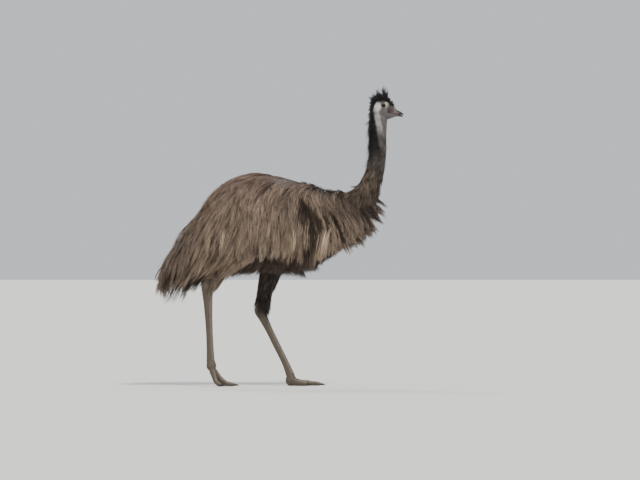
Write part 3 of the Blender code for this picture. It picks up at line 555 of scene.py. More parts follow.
def toe_rows(side, word):
    """Stations of one toe and of its claw."""
    end = sided(SHANKS[side], side)[-1]
    degrees, aside = TOES[word]
    profile, stretch = FEET[side]["profiles"][word]
    heading = math.radians(degrees) * side
    way = np.array((math.cos(heading), math.sin(heading)))
    root = np.array((end[0], end[1] + aside * side))
    toe = [(*(root + way * reach * stretch), z, wide, deep) for reach, z, wide, deep in profile]
    claw = []
    for share in np.linspace(0, 1, 12):
        reach = profile[-1][0] * stretch + CLAW_START + (CLAW_LENGTH - CLAW_START) * share
        radius = CLAW_RADIUS * (1 - share) ** CLAW_TAPER + CLAW_TIP
        level = max(profile[-1][1] - CLAW_HOOK * share**2, radius)
        claw.append((*(root + way * reach), level, radius * CLAW_NARROW, radius))
    return toe, claw


toes = {(side, word): toe_rows(side, word) for side in WORDS for word in TOES}
print("toes:", len(toes))

# %% [markdown]
# ## Meshes from tables of numbers
#
# A mesh is a table of points and a table of faces. `mesh_piece` writes both at once, which is
# thousands of times faster than adding faces one by one. It lets every piece ride on the bird's
# one body and gives it its finish.


# %% Making pieces
def mesh_piece(name, points, faces, material, slot, extra=None):
    """An object from arrays of points and triangles, shaded smooth."""
    mesh = bpy.data.meshes.new(name)
    mesh.vertices.add(len(points))
    mesh.vertices.foreach_set("co", np.asarray(points, np.float32).ravel())
    mesh.loops.add(faces.size)
    mesh.loops.foreach_set("vertex_index", faces.ravel().astype(np.int32))
    mesh.polygons.add(len(faces))
    mesh.polygons.foreach_set("loop_start", np.arange(0, faces.size, 3, dtype=np.int32))
    mesh.update(calc_edges=True)
    mesh.shade_smooth()
    for key, values in (extra or {}).items():
        if key == "OFBake":
            mesh.uv_layers.new(name=key).data.foreach_set("uv", values[faces.ravel()].ravel())
        else:
            layer = mesh.attributes.new(key, "FLOAT", "POINT")
            layer.data.foreach_set("value", values.astype(np.float32))
    mesh.materials.append(material)
    made = bpy.data.objects.new(name, mesh)
    bpy.context.collection.objects.link(made)
    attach(made, "root")
    return made


def tube(rings):
    """Points and triangles of a closed skin over rings of as many points each."""
    count, sides = rings.shape[:2]
    points = np.concatenate([rings.reshape(-1, 3), rings[:1].mean(1), rings[-1:].mean(1)])
    here = np.arange(sides)
    after = (here + 1) % sides
    first, last, rim = count * sides, count * sides + 1, (count - 1) * sides
    faces = [np.stack([np.full(sides, first), after, here], -1)]
    for row in range(count - 1):
        low, high = row * sides, (row + 1) * sides
        faces.append(np.stack([low + here, low + after, high + after], -1))
        faces.append(np.stack([low + here, high + after, high + here], -1))
    faces.append(np.stack([np.full(sides, last), rim + here, rim + after], -1))
    return points, np.concatenate(faces)


def form_rings(place, shares, sides, depth=0.0):
    """Rings of a form at one depth."""
    u, v = np.meshgrid(shares, np.linspace(0, math.tau, sides, endpoint=False), indexing="ij")
    return place(u, v, np.full(u.shape, depth))


def upright_rings(stations, widest, sides, count):
    """Rings that stand upright, each widest at a share of its height."""
    rows = smooth_rows(stations, count)[:, :, None]
    turn = np.linspace(0, math.tau, sides, endpoint=False)[None]
    x, top, bottom, half = (rows[:, k] for k in range(4))
    middle = bottom + (top - bottom) * widest
    reach = np.where(np.cos(turn) > 0, top - middle, middle - bottom)
    y, z = half * np.sin(turn), middle + reach * np.cos(turn)
    return np.stack([x + 0 * y, y, z], -1)


def ball(centre, sizes, segments=24):
    """Points and triangles of an ellipsoid."""
    bm = bmesh.new()
    bmesh.ops.create_uvsphere(bm, u_segments=segments, v_segments=segments // 2, radius=1)
    bmesh.ops.triangulate(bm, faces=bm.faces)
    points = np.array([vert.co for vert in bm.verts])
    faces = np.array([[vert.index for vert in face.verts] for face in bm.faces])
    bm.free()
    return points * np.array(sizes) + np.array(centre), faces


def box(low, high):
    """Points and triangles of a plain block."""
    bm = bmesh.new()
    bmesh.ops.create_cube(bm, size=1)
    bmesh.ops.triangulate(bm, faces=bm.faces)
    low, high = np.array(low), np.array(high)
    points = (np.array([vert.co for vert in bm.verts]) + 0.5) * (high - low) + low
    faces = np.array([[vert.index for vert in face.verts] for face in bm.faces])
    bm.free()
    return points, faces


def draft(shape):
    """A bare object from points and triangles, facing out, to be melted or cut."""
    points, faces = shape
    corners = points[faces]
    volume = np.einsum("ij,ij->i", corners[:, 0], np.cross(corners[:, 1], corners[:, 2])).sum()
    if volume < 0:
        faces = faces[:, ::-1]
    mesh = bpy.data.meshes.new("draft")
    mesh.from_pydata(points.tolist(), [], faces.tolist())
    made = bpy.data.objects.new("draft", mesh)
    bpy.context.collection.objects.link(made)
    return made


def settled(obj, others=()):
    """The evaluated mesh of a draft as arrays. The drafts are thrown away."""
    bpy.context.view_layer.update()
    seen = obj.evaluated_get(bpy.context.evaluated_depsgraph_get())
    mesh = seen.to_mesh()
    mesh.calc_loop_triangles()
    points = np.empty(len(mesh.vertices) * 3, np.float32)
    mesh.vertices.foreach_get("co", points)
    faces = np.empty(len(mesh.loop_triangles) * 3, np.int32)
    mesh.loop_triangles.foreach_get("vertices", faces)
    seen.to_mesh_clear()
    for done in (obj, *others):
        bpy.data.objects.remove(done)
    return points.reshape(-1, 3).astype(float), faces.reshape(-1, 3)


def combined(shape, others, operation):
    """One closed shape from several, by the Boolean that works on closed meshes."""
    whole, tools = draft(shape), [draft(other) for other in others]
    for tool in tools:
        step = whole.modifiers.new("step", "BOOLEAN")
        step.operation, step.solver, step.object = operation, "MANIFOLD", tool
    return settled(whole, tools)


def melted(shapes, voxel, rounds, cutters=()):
    """Melts overlapping shapes into one even skin, less the cutters, and softens it."""
    drafts = [draft(shape) for shape in shapes]
    first = drafts[0]
    with bpy.context.temp_override(
        active_object=first, object=first, selected_editable_objects=drafts
    ):
        bpy.ops.object.join()
    melt = first.modifiers.new("melt", "REMESH")
    melt.mode, melt.voxel_size = "VOXEL", voxel
    shape = settled(first)
    if cutters:
        cut = draft(combined(shape, cutters, "DIFFERENCE"))
        melt = cut.modifiers.new("melt", "REMESH")
        melt.mode, melt.voxel_size = "VOXEL", voxel
        shape = settled(cut)
    soft = draft(shape)
    soften = soft.modifiers.new("soften", "SMOOTH")
    soften.factor, soften.iterations = 0.5, rounds
    return settled(soft)


print("mesh tools ready")

# %% [markdown]
# ## The skin
#
# Under its coat an emu is one unbroken skin from head to toes. A sculptor in clay would push
# trunk, neck and thighs together and smooth them over. Voxel remeshing does that: it fills the
# overlapping tubes with small cubes and draws one new surface round them all. The trunk is hidden
# by plumes, so large cubes will do there. Head and feet are bare and get fine ones.

# %% Trunk, thighs and wing arms
TRUNK_VOXEL, HEAD_VOXEL, LEG_VOXEL = 0.008, 0.0013, 0.0021
NECK_JOIN = 0.60  # share of the neck at which coarse and fine skin meet, under long plumes

trunk_shapes = [tube(form_rings(trunk, np.linspace(-0.599, 0.499, 90), 48))]
trunk_shapes.append(tube(form_rings(neck, np.linspace(0, NECK_JOIN, 40), 32, 0.1)))
for side in WORDS:
    trunk_shapes.append(tube(form_rings(drumsticks[side], np.linspace(0, 1, 40), 32)))
    trunk_shapes.append(tube(form_rings(wings[side], np.linspace(0, 1, 20), 16)))
trunk_skin = melted(trunk_shapes, TRUNK_VOXEL, 6)
print("trunk skin:", len(trunk_skin[1]), "triangles")

# %% [markdown]
# The head is small and flat on top, deepest behind the eye, and narrows evenly into the bill. The
# lids are two soft rims that hug the eyeball, the upper one heavier and longer, so that the bird
# looks a little stern. The ear is an open hole behind the eye.

# %% Head stations and the eye's place
# x, top, bottom, half width
HEAD = [
    (0.502, 1.516, 1.492, 0.008),
    (0.507, 1.530, 1.476, 0.017),
    (0.522, 1.545, 1.452, 0.0262),
    (0.545, 1.553, 1.438, 0.0305),
    (0.568, 1.552, 1.436, 0.0300),
    (0.590, 1.542, 1.440, 0.0262),
    (0.604, 1.530, 1.4445, 0.0232),
    (0.6133, 1.5190, 1.4470, 0.0217),
    (0.6190, 1.5125, 1.4488, 0.0208),
    (0.6230, 1.5065, 1.4506, 0.0192),
]
HEAD_WIDEST = 0.58
EYE, EYE_RADIUS = np.array((0.5665, 0.0205, 1.5130)), 0.0135
EYE_LOOK = np.array((0.18, 1.0, 0.02))  # the left eye looks out and slightly forward
UPPER_LID = (4, 176, 0.0031, 0.0090)  # from and to degrees, thickness, half height
LOWER_LID = (172, 368, 0.0025, 0.0086)
LID_HALF_LENGTH = 0.0118
EAR, EAR_SIZE = np.array((0.5440, 0.0320, 1.4920)), (0.0048, 0.0060, 0.0058)
MOUTH_HEIGHT, MOUTH_SLIT, MOUTH_BACK = 1.4682, 0.0011, 0.590
BROW = ((0.5690, 0.0215, 1.5265), (0.0190, 0.0080, 0.0045))
CHEEK = ((0.5720, 0.0200, 1.4880), (0.0230, 0.0085, 0.0130))
GAPE = ((0.6000, 0.0185, 1.4660), (0.0120, 0.0045, 0.0035))
THROAT = ((0.5745, 0.0, 1.4380), (0.0145, 0.0130, 0.0180))
UNDER_CHIN = ((0.5850, 0.0, 1.4500), (0.0135, 0.0125, 0.0115))


HAIR_ROOM = 0.010  # from the skin of the head to where its hair may reach
hair_tips = [(x, top + HAIR_ROOM, low - HAIR_ROOM, half + HAIR_ROOM) for x, top, low, half in HEAD]
head = barrel_form(HEAD, hair_tips, HEAD_WIDEST)


def on_side(point, side):
    return np.array(point) * (1, side, 1)


def lid_rim(side, start, end, thick, half_height):
    """A soft rim along the eyeball, thinning out towards both corners of the eye."""
    turns = np.radians(np.linspace(start, end, 25))
    look = unit(on_side(EYE_LOOK, side))
    ahead = unit(np.cross(np.cross(look, FRONT), look))
    above = np.cross(ahead, look) * -side
    flat = ahead * (LID_HALF_LENGTH * np.cos(turns))[:, None]
    flat = flat + above * (half_height * np.sin(turns))[:, None]
    out = np.sqrt(EYE_RADIUS**2 - (flat**2).sum(-1))[:, None]
    spine = on_side(EYE, side) + (flat + look * out) * (1 + 0.4 * thick / EYE_RADIUS)
    roll = np.linspace(0, math.tau, 10, endpoint=False)[None, :, None]
    ahead_here = unit(np.gradient(spine, axis=0))
    away = unit(spine - on_side(EYE, side))
    across = np.cross(ahead_here, away)
    slim = (0.45 + 0.55 * np.sin(np.linspace(0, math.pi, 25)))[:, None, None] * thick
    ring = across[:, None] * np.cos(roll) + away[:, None] * np.sin(roll)
    return tube(spine[:, None] + ring * slim)


# %% [markdown]
# Bare skin on the face and the throat is never quite smooth. It lies in fine creases that run
# round the neck, and is pebbled on the cheek. A few sums of waves push the skin's own points in
# and out by less than a millimetre.

# %% Head and upper neck
CREASE = 0.00055


def normals_of(points, faces):
    corners = points[faces]
    flat = np.cross(corners[:, 1] - corners[:, 0], corners[:, 2] - corners[:, 0])
    total = np.zeros_like(points)
    for k in range(3):
        np.add.at(total, faces[:, k], flat)
    return unit(total)


def creased(shape):
    points, faces = shape
    x, y, z = points.T
    bend = 0.9 * np.sin(31 * y + 47 * x) + 0.6 * np.sin(83 * x - 20 * z)
    folds = np.sin(760 * z + 260 * x + 4 * bend) * np.sin(140 * x + 90 * z + 2 * bend)
    pebbles = np.sin(1900 * x + 3 * bend) * np.sin(2100 * z + 5 * bend) * np.sin(1700 * y)
    throat = np.clip((1.50 - z) / 0.03, 0, 1)
    height = CREASE * (folds * throat + 0.35 * pebbles)
    return points + normals_of(points, faces) * height[:, None], faces


neck_shares = np.linspace(0.50, 0.99, 60)
sunk = np.clip((NECK_JOIN - neck_shares) / 0.06, 0, 1) * -0.5
neck_rings = np.concatenate([form_rings(neck, [s], 48, d) for s, d in zip(neck_shares, sunk)])
head_shapes = [tube(upright_rings(HEAD, HEAD_WIDEST, 64, 60)), tube(neck_rings), ball(*THROAT)]
head_shapes.append(ball(*UNDER_CHIN))
head_cutters, sockets = [], []
for side in WORDS:
    for centre, sizes in (BROW, CHEEK, GAPE):
        head_shapes.append(ball(on_side(centre, side), sizes))
    for lid in (UPPER_LID, LOWER_LID):
        head_shapes.append(lid_rim(side, *lid))
    head_cutters.append(ball(on_side(EAR, side), EAR_SIZE))
    sockets.append(ball(on_side(EYE, side), [EYE_RADIUS] * 3, 48))
slit_low = (MOUTH_BACK, -0.05, MOUTH_HEIGHT - MOUTH_SLIT)
slit_high = (0.64, 0.05, MOUTH_HEIGHT + MOUTH_SLIT)
head_cutters.append(box(slit_low, slit_high))
head_skin = creased(melted(head_shapes, HEAD_VOXEL, 3, head_cutters))
head_skin = combined(head_skin, sockets, "DIFFERENCE")
print("head and neck skin:", len(head_skin[1]), "triangles")

# %% [markdown]
# Shank, hub and toes of each leg melt together in the same way. Their undersides are cut level,
# because the weight of 38 kg spreads the pads on the ground.

# %% Bare legs and feet
def foot_shapes(side):
    end = sided(SHANKS[side], side)[-1]
    centre = (end[0] + BALL_AHEAD, end[1], FEET[side]["ball_height"])
    shapes = [tube(form_rings(shanks[side], np.linspace(0, 1, 90), 32))]
    shapes.append(ball(centre, FEET[side]["ball"]))
    middle = (end[0] + BALL_AHEAD / 2, end[1], (end[2] + centre[2]) / 2 + 0.006)
    shapes.append(ball(middle, (0.0235, 0.0225, 0.030)))
    for word in TOES:
        toe = toes[side, word][0]
        shapes.append(tube(form_rings(limb_form(toe, toe, TOP), np.linspace(0, 1, 50), 24)))
    return shapes


leg_skins = []
for side in WORDS:
    ground = box((-1, -1, -0.2), (1, 1, 0.0004))
    leg_skins.append(melted(foot_shapes(side), LEG_VOXEL, 3, [ground]))
skin_shape = combined(trunk_skin, [head_skin, *leg_skins], "UNION")
print("whole skin:", len(skin_shape[1]), "triangles")

# %% [markdown]
# The skin's colours follow the bird. Behind the eye lies a bare cream-white patch that runs down
# the side of the neck as a grey-white streak and fades towards the throat, which is greyish
# pink-brown. The lores in front of the eye are dusky and the lids dark. Crown and nape are black.
# The fine down of head and neck wears the same marks, so they are written once, as masks.


# %% Marks of head and neck
def neck_marks(tree):
    """Masks of the pale streak, the patches round the eye, the dark lores and the black nape."""
    ragged = (noise(tree, position(tree), 55, 4) - 0.5) * 0.014
    where = shaken(folded(tree), 90, 0.010)
    x, y, z = split(where)
    line = 0.5410 + (1.417 - z) * 0.20 + ragged  # the middle of the streak down the neck
    streak = (1.0 - smoothstep((x - line).size(), 0.007, 0.020)) * smoothstep(z, 1.34, 1.42)
    patch = near(where, (0.5370, 0.034, 1.5060), (0.0245, 0.034, 0.0360), 0.55)
    patch = patch.most(near(where, (0.5820, 0.028, 1.5200), (0.0135, 0.022, 0.0250), 0.3) * 0.8)
    lores = near(where, (0.606, 0.020, 1.490), (0.028, 0.026, 0.032), 0.40)
    nape = (1.0 - smoothstep(x - line, -0.026, -0.014)) * smoothstep(z, 1.18, 1.30)
    crown = smoothstep(z + ragged + (0.560 - x).size() * 0.22, 1.537, 1.545)
    back = x + ragged - (z - 1.50) * 0.40
    crown = crown.most(1.0 - smoothstep(back, 0.510, 0.517)) * smoothstep(z, 1.40, 1.44)
    crown = crown.most(near(where, (0.609, 0.012, 1.524), (0.018, 0.028, 0.021), 0.6))
    cheek = near(where, (0.5590, 0.034, 1.4910), (0.0170, 0.022, 0.0150), 0.25)
    cheek = cheek.most(near(where, (0.5470, 0.034, 1.4810), (0.0140, 0.022, 0.0140), 0.2) * 0.7)
    return {
        "streak": streak,
        "patch": patch * (1.0 - cheek),
        "lores": lores * (1.0 - patch),
        "cream": smoothstep(x, 0.564, 0.574),
        "black": nape.most(crown),
        "ragged": ragged,
        "where": where,
    }


def skin_paint(tree):
    marks = neck_marks(tree)
    where, place = marks["where"], position(tree)
    x, y, z = split(where)
    fine = noise(tree, place, 900, 4)
    blotch = noise(tree, place, 90, 4)
    colour = mix(blotch, (0.085, 0.075, 0.074), (0.175, 0.158, 0.152))
    colour = mix(marks["streak"] * 0.85, colour, mix(fine, (0.25, 0.26, 0.27), (0.42, 0.43, 0.43)))
    bare = mix(fine, (0.46, 0.45, 0.41), (0.66, 0.64, 0.58))
    bare = mix(marks["cream"], bare, (0.52, 0.49, 0.38))
    colour = mix(marks["lores"], colour, (0.060, 0.042, 0.040))
    colour = mix(marks["patch"], colour, bare)
    rim = near(where, tuple(EYE + (0, 0.010, 0)), (0.0175, 0.016, 0.0150), 0.72)
    colour = mix(rim * 0.9, colour, (0.045, 0.042, 0.045))
    colour = mix(marks["black"], colour, (0.016, 0.015, 0.018))
    covered = mix(blotch, (0.035, 0.028, 0.022), (0.065, 0.050, 0.038))
    colour = mix(1.0 - smoothstep(z, 1.14, 1.26), colour, covered)
    cells = {"feature": "DISTANCE_TO_EDGE"}
    scale = node(tree, "ShaderNodeTexVoronoi", cells, {"Vector": place, "Scale": 290.0})
    seam = 1.0 - smoothstep(scale, 0.02, 0.16)
    leg = mix(blotch, (0.080, 0.064, 0.045), (0.170, 0.136, 0.098))
    leg = mix(seam * 0.8, leg, (0.026, 0.021, 0.016))
    below = 1.0 - smoothstep(z, 0.54, 0.56)
    colour = mix(below, colour, leg)
    height = scale.least(0.2) * 4.0 * below + fine * 0.3
    return {"Base Color": colour, "Normal": bump(tree, height, 0.0009, 0.6)}


skin_material = finish("bare_skin", skin_paint, Roughness=0.62, Specular_IOR_Level=0.35)
skin = mesh_piece("skin", *skin_shape, skin_material, "face_skin")
flesh = ["torso", "tail", "neck_lower", "neck_upper", "head"]
for word in WORDS.values():
    flesh += [f"{part}_{word}" for part in ("wing", "drumstick", "shank", "foot")]
    flesh += [f"toe_{word}_{toe}" for toe in TOES]
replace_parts(skin, *flesh)
print("skin stands for", len(flesh), "nodes")

# %% [markdown]
# ## Scutes
#
# Down the front of each shank and over each toe run broad horny plates that overlap like roof
# tiles, each a thin curved shield with a rounded lower edge. Every plate starts flush under the
# one above it and lifts a little towards its own edge, which catches the light.

# %% Plates
PLATE_GRID = (6, 13)  # points along and across a plate
FULL_PLATE = 7  # the first plates of a limb are narrower than this one
SHANK_PLATES, MIDDLE_TOE_PLATES, SIDE_TOE_PLATES = 34, 15, 11


def plates(place, edges, reach, room):
    """Overlapping shields along a limb, each closed, as one table of points and one of faces."""
    rows, columns = PLATE_GRID
    v = np.linspace(-1, 1, columns)
    points, faces = [], []
    quads = []
    for i in range(rows - 1):
        for j in range(columns - 1):
            a, b = i * columns + j, (i + 1) * columns + j
            quads += [(a, a + 1, b + 1), (a, b + 1, b)]
    quads = np.array(quads)
    rim = [j for j in range(columns)]
    rim += [i * columns + columns - 1 for i in range(1, rows)]
    rim += [(rows - 1) * columns + j for j in range(columns - 2, -1, -1)]
    rim += [i * columns for i in range(rows - 2, 0, -1)]
    rim = np.array(rim)
    after = np.roll(rim, -1)
    count = rows * columns
    wall = np.concatenate([
        np.stack([rim, rim + count, after + count], -1),
        np.stack([rim, after + count, after], -1),
    ])
    shield = np.concatenate([quads, quads[:, ::-1] + count, wall])
    for number, (start, end) in enumerate(zip(edges, edges[1:])):
        size = end - start
        wide = reach * dice.uniform(0.92, 1.06) * min((number + 2) / FULL_PLATE, 1)
        lean = dice.uniform(-0.10, 0.10)
        t = np.linspace(-0.25, 1.0, rows)[:, None]
        round_edge = 0.32 * (1 - v[None] ** 2) + lean * v[None]
        u = start + size * (t + round_edge * np.clip(t, 0, 1))
        turn = wide * v[None] * (1 - 0.06 * np.clip(t, 0, 1))
        u, turn = np.broadcast_arrays(np.clip(u, 0.002, 0.998), turn)
        lift = room * (0.1 + 0.9 * np.clip(t, 0, 1) ** 1.5) * (1 - 0.55 * v[None] ** 4)
        base = len(points) * 2 * count
        outer = place(u, turn, np.broadcast_to(lift, u.shape))
        inner = place(u, turn, np.full(u.shape, -0.9))
        points.append(np.concatenate([outer.reshape(-1, 3), inner.reshape(-1, 3)]))
        faces.append(shield + base)
    return np.concatenate(points), np.concatenate(faces)


def eased(first, last, count, slack):
    """Edges from first to last whose distances shrink or grow by the slack."""
    steps = np.linspace(1, 1 + slack, count) * dice.uniform(0.9, 1.1, count)
    return first + (last - first) * np.concatenate([[0], np.cumsum(steps)]) / steps.sum()


def scute_paint(tree):
    place = position(tree)
    blotch = noise(tree, place, 60, 4)
    worn = noise(tree, place, 600, 4)
    colour = mix(blotch, (0.075, 0.060, 0.044), (0.190, 0.152, 0.110))
    colour = mix(smoothstep(worn, 0.45, 0.75) * 0.4, colour, (0.28, 0.24, 0.185))
    return {"Base Color": colour, "Normal": bump(tree, worn, 0.0006, 0.5)}


scute_material = finish("scutes", scute_paint, Roughness=0.48, Specular_IOR_Level=0.4)
for side, word in WORDS.items():
    edges = eased(0.15, 0.985, SHANK_PLATES, -0.25)
    shape = plates(shanks[side], edges, math.radians(78), 1.6)
    mesh_piece(f"scutes_shank_{word}", *shape, scute_material, "leg_scales")
    for toe, count in (("inner", SIDE_TOE_PLATES), ("middle", MIDDLE_TOE_PLATES), ("outer", SIDE_TOE_PLATES)):
        rows = toes[side, toe][0]
        form = limb_form(rows, fluffed(rows, PLATE_ROOM), TOP)
        shape = plates(form, eased(0.05, 0.99, count, -0.3), math.radians(76), 1.3)
        mesh_piece(f"scutes_{toe}_{word}", *shape, scute_material, "leg_scales")
print("plates:", 2 * (SHANK_PLATES + MIDDLE_TOE_PLATES + 2 * SIDE_TOE_PLATES))

# %% [markdown]
# ## Eyes, bill and claws
#
# These are the hard, glossy parts and stay pieces of their own. The eye is a ball with a dark
# brown iris, a black pupil and a wet coat that mirrors the lamp as one small bright spot.

# %% Eyes
def eye_paint(tree):
    x, y, z = split(folded(tree))
    look = unit(EYE_LOOK)
    ahead = (x - EYE[0]) * look[0] + (y - EYE[1]) * look[1] + (z - EYE[2]) * look[2]
    cosine = ahead / EYE_RADIUS
    rays = noise(tree, position(tree), 700, 3)
    iris = mix(rays, (0.011, 0.005, 0.003), (0.042, 0.019, 0.009))
    colour = mix(1.0 - smoothstep(cosine, 0.66, 0.70), iris, (0.012, 0.009, 0.008))
    colour = mix(smoothstep(cosine, 0.875, 0.890), colour, (0.003, 0.003, 0.003))
    return {"Base Color": colour}


wet = {"Roughness": 0.30, "Specular_IOR_Level": 0.05, "Coat_Weight": 0.22, "Coat_Roughness": 0.02}
eye_material = finish("wet_eye", eye_paint, **wet)
for side, word in WORDS.items():
    shape = ball(on_side(EYE, side), [EYE_RADIUS - 0.0003] * 3, 64)
    piece = mesh_piece(f"eyeball_{word}", *shape, eye_material, "eye")
    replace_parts(piece, f"eye_{word}")
print("eyes done")

# %% [markdown]
# The bill is short and broad, with a flat ridge, and its upper half hooks slightly over the lower
# one. The photo's bird holds it a little open. A nostril lies in a groove halfway along each side.

# %% Bill
# x, top, bottom, half width
BILL_UPPER = [
    (0.6080, 1.5200, 1.4695, 0.0205),
    (0.6133, 1.5165, 1.4690, 0.0203),
    (0.6270, 1.5030, 1.4680, 0.0190),
    (0.6420, 1.4910, 1.4670, 0.0160),
    (0.6560, 1.4830, 1.4660, 0.0125),
    (0.6680, 1.4765, 1.4635, 0.0080),
    (0.6722, 1.4718, 1.4605, 0.0054),
    (0.6745, 1.4655, 1.4600, 0.0020),
]
BILL_LOWER = [
    (0.6020, 1.4660, 1.4510, 0.0170),
    (0.6080, 1.4698, 1.4492, 0.0188),
    (0.6150, 1.4698, 1.4492, 0.0190),
    (0.6270, 1.4688, 1.4520, 0.0175),
    (0.6420, 1.4677, 1.4545, 0.0145),
    (0.6560, 1.4662, 1.4545, 0.0112),
    (0.6650, 1.4627, 1.4525, 0.0070),
    (0.6692, 1.4588, 1.4522, 0.0044),
    (0.6710, 1.4568, 1.4520, 0.0025),
]
# centre and half sizes of the hollows that make up the groove and, deeper, the nostril
HOLLOWS = [
    ((0.6290, 0.0200, 1.4830), (0.0075, 0.0040, 0.0050)),
    ((0.6360, 0.0183, 1.4825), (0.0075, 0.0040, 0.0048)),
    ((0.6430, 0.0160, 1.4815), (0.0075, 0.0038, 0.0042)),
    ((0.6500, 0.0134, 1.4800), (0.0070, 0.0034, 0.0032)),
    ((0.6385, 0.0150, 1.4815), (0.0042, 0.0034, 0.0019)),
    ((0.6430, 0.0138, 1.4812), (0.0042, 0.0034, 0.0017)),
]


def bill_paint(tree):
    where = folded(tree)
    x, y, z = split(where)
    streaks = noise(tree, position(tree), 420, 5)
    cloud = noise(tree, position(tree), 130, 3)
    colour = mix(streaks, (0.060, 0.042, 0.038), (0.135, 0.098, 0.088))
    ridge = near(where, (0.6250, 0.0, 1.5060), (0.0230, 0.017, 0.0140), 0.2)
    colour = mix(ridge * 0.7, colour, (0.30, 0.215, 0.185))
    colour = mix(smoothstep(x + (cloud - 0.5) * 0.012, 0.640, 0.652), colour, (0.014, 0.013, 0.015))
    return {"Base Color": colour, "Normal": bump(tree, streaks, 0.0005, 0.4)}


bill_material = finish("horn", bill_paint, Roughness=0.38, Specular_IOR_Level=0.5)
upper_rings = upright_rings(BILL_UPPER, 0.12, 64, 60)
lower_rings = upright_rings(BILL_LOWER, 0.88, 48, 50)
carving = []
for side in WORDS:
    for centre, sizes in HOLLOWS:
        carving.append(ball(on_side(centre, side), sizes, 32))
upper_bill = combined(tube(upper_rings), carving, "DIFFERENCE")
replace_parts(mesh_piece("bill_top", *upper_bill, bill_material, "bill_horn"), "bill_upper")
lower_bill = mesh_piece("bill_bottom", *tube(lower_rings), bill_material, "bill_horn")
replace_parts(lower_bill, "bill_lower")
print("bill done")

# %% [markdown]
# Each toe ends in a blunt, slightly hooked claw of black horn, scuffed pale in patches.

# %% Claws
def claw_paint(tree):
    scuffs = noise(tree, position(tree), 500, 5)
    colour = mix(smoothstep(scuffs, 0.50, 0.78), (0.018, 0.016, 0.015), (0.13, 0.115, 0.095))
    return {"Base Color": colour, "Normal": bump(tree, scuffs, 0.0004, 0.4)}


claw_material = finish("claw_horn", claw_paint, Roughness=0.35, Specular_IOR_Level=0.5)
for (side, toe), (rows, claw) in toes.items():
    form = limb_form(claw, claw, TOP)
    shape = tube(form_rings(form, np.linspace(0, 1, 30) ** 0.8, 24))
    shape[0][:, 2] = np.maximum(shape[0][:, 2], 0.0004)
    piece = mesh_piece(f"nail_{WORDS[side]}_{toe}", *shape, claw_material, "claws")
    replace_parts(piece, f"claw_{WORDS[side]}_{toe}")
print("claws:", len(toes))

# %% [markdown]
# ## The coat
#
# An emu's plume is a long, limp, hair-like feather. Dozens of them mat together into a lock, and
# the locks hang over one another like wet thatch. Modelling it takes three steps. Roots are
# scattered evenly over the skin, one for each lock. A guide line is led from each root over the
# body, always turning the way the coat lies there and rising from the skin to the coat's outline.
# Then a bundle of thin strands follows each guide, drawn together towards the lock's tip.


# %% Scattering the roots
def scattered(place, first, last, step, gap, low=-math.pi, high=math.pi):
    """Roots at even distances over a form, row by row, each a little off its place."""
    fine = np.linspace(low, high, 97)
    us, vs = [], []
    for u in np.arange(first, last, step):
        ring = place(np.full(fine.shape, u), fine, np.zeros(fine.shape))
        run = np.concatenate([[0], np.cumsum(np.linalg.norm(np.diff(ring, axis=0), axis=1))])
        count = max(int(run[-1] / gap), 1)
        where = (np.arange(count) + dice.uniform(0, 1) + dice.normal(0, 0.22, count)) % count
        vs.append(np.interp(where / count * run[-1], run, fine))
        us.append(np.clip(u + dice.normal(0, 0.28, count) * step, first, last))
    return np.concatenate(us), np.concatenate(vs)


# %% [markdown]
# The lie of the trunk's coat is a table along the body: the lean back from plumb on the flank and
# on the spine. Behind, the plumes trail back along the rump. In the middle they hang. On the
# shoulder they fall forward, and between the two ways the coat parts over the small wing. A slow
# drift of the angle from place to place keeps it from looking combed.

# %% The lie of the plumes
# x, lean back at the flank and at the spine in degrees
LIE = np.array([
    (-0.64, 16, 14),
    (-0.56, 26, 28),
    (-0.45, 27, 40),
    (-0.30, 18, 50),
    (-0.15, 8, 66),
    (0.00, 3, 78),
    (0.10, 2, 62),
    (0.14, 0, 52),
    (0.18, -16, 44),
    (0.30, -22, 28),
    (0.40, -27, 0),
    (0.53, -38, -30),
])
SPINE_SPREAD = 0.45  # how strongly plumes leave the spine sideways
DRIFT = 0.07  # radians


def plume_lie(x, turn, lean):
    share = np.maximum(np.cos(turn), 0) ** 4
    flank, spine = [np.radians(np.interp(x, LIE[:, 0], LIE[:, k])) for k in (1, 2)]
    drift = np.sin(17 * x + 5 * turn) + np.sin(29 * x - 9 * turn + 2)
    lean = flank * (1 - share) + spine * share + lean + DRIFT * drift
    return np.stack([-np.sin(lean), np.sign(turn) * SPINE_SPREAD * share, -np.cos(lean)], -1)


def neck_lie(share, turn, lean):
    return np.stack([-0.15 - 0.2 * share, 0.35 * np.sin(lean), -np.ones_like(share)], -1)


def leg_lie(share, turn, lean):
    return np.stack([-0.45 + 0.4 * np.sin(lean), 0 * share, -np.ones_like(share)], -1)


# %% [markdown]
# `led` does the walking, for all strands at once. At each step it reads the form's slopes, finds
# the small move over the surface that points along the lie, and makes it. `hang` lets a strand
# that has passed the widest part of the body fall straight, as its weight would, in place of
# curling in under the belly.

# %% Leading strands over a form
STEPS = 10
LIFT_POWER = 0.75  # how early a strand rises from the skin on its way
WALK_KEYS = ("u", "v", "length", "sink", "lift", "lean")


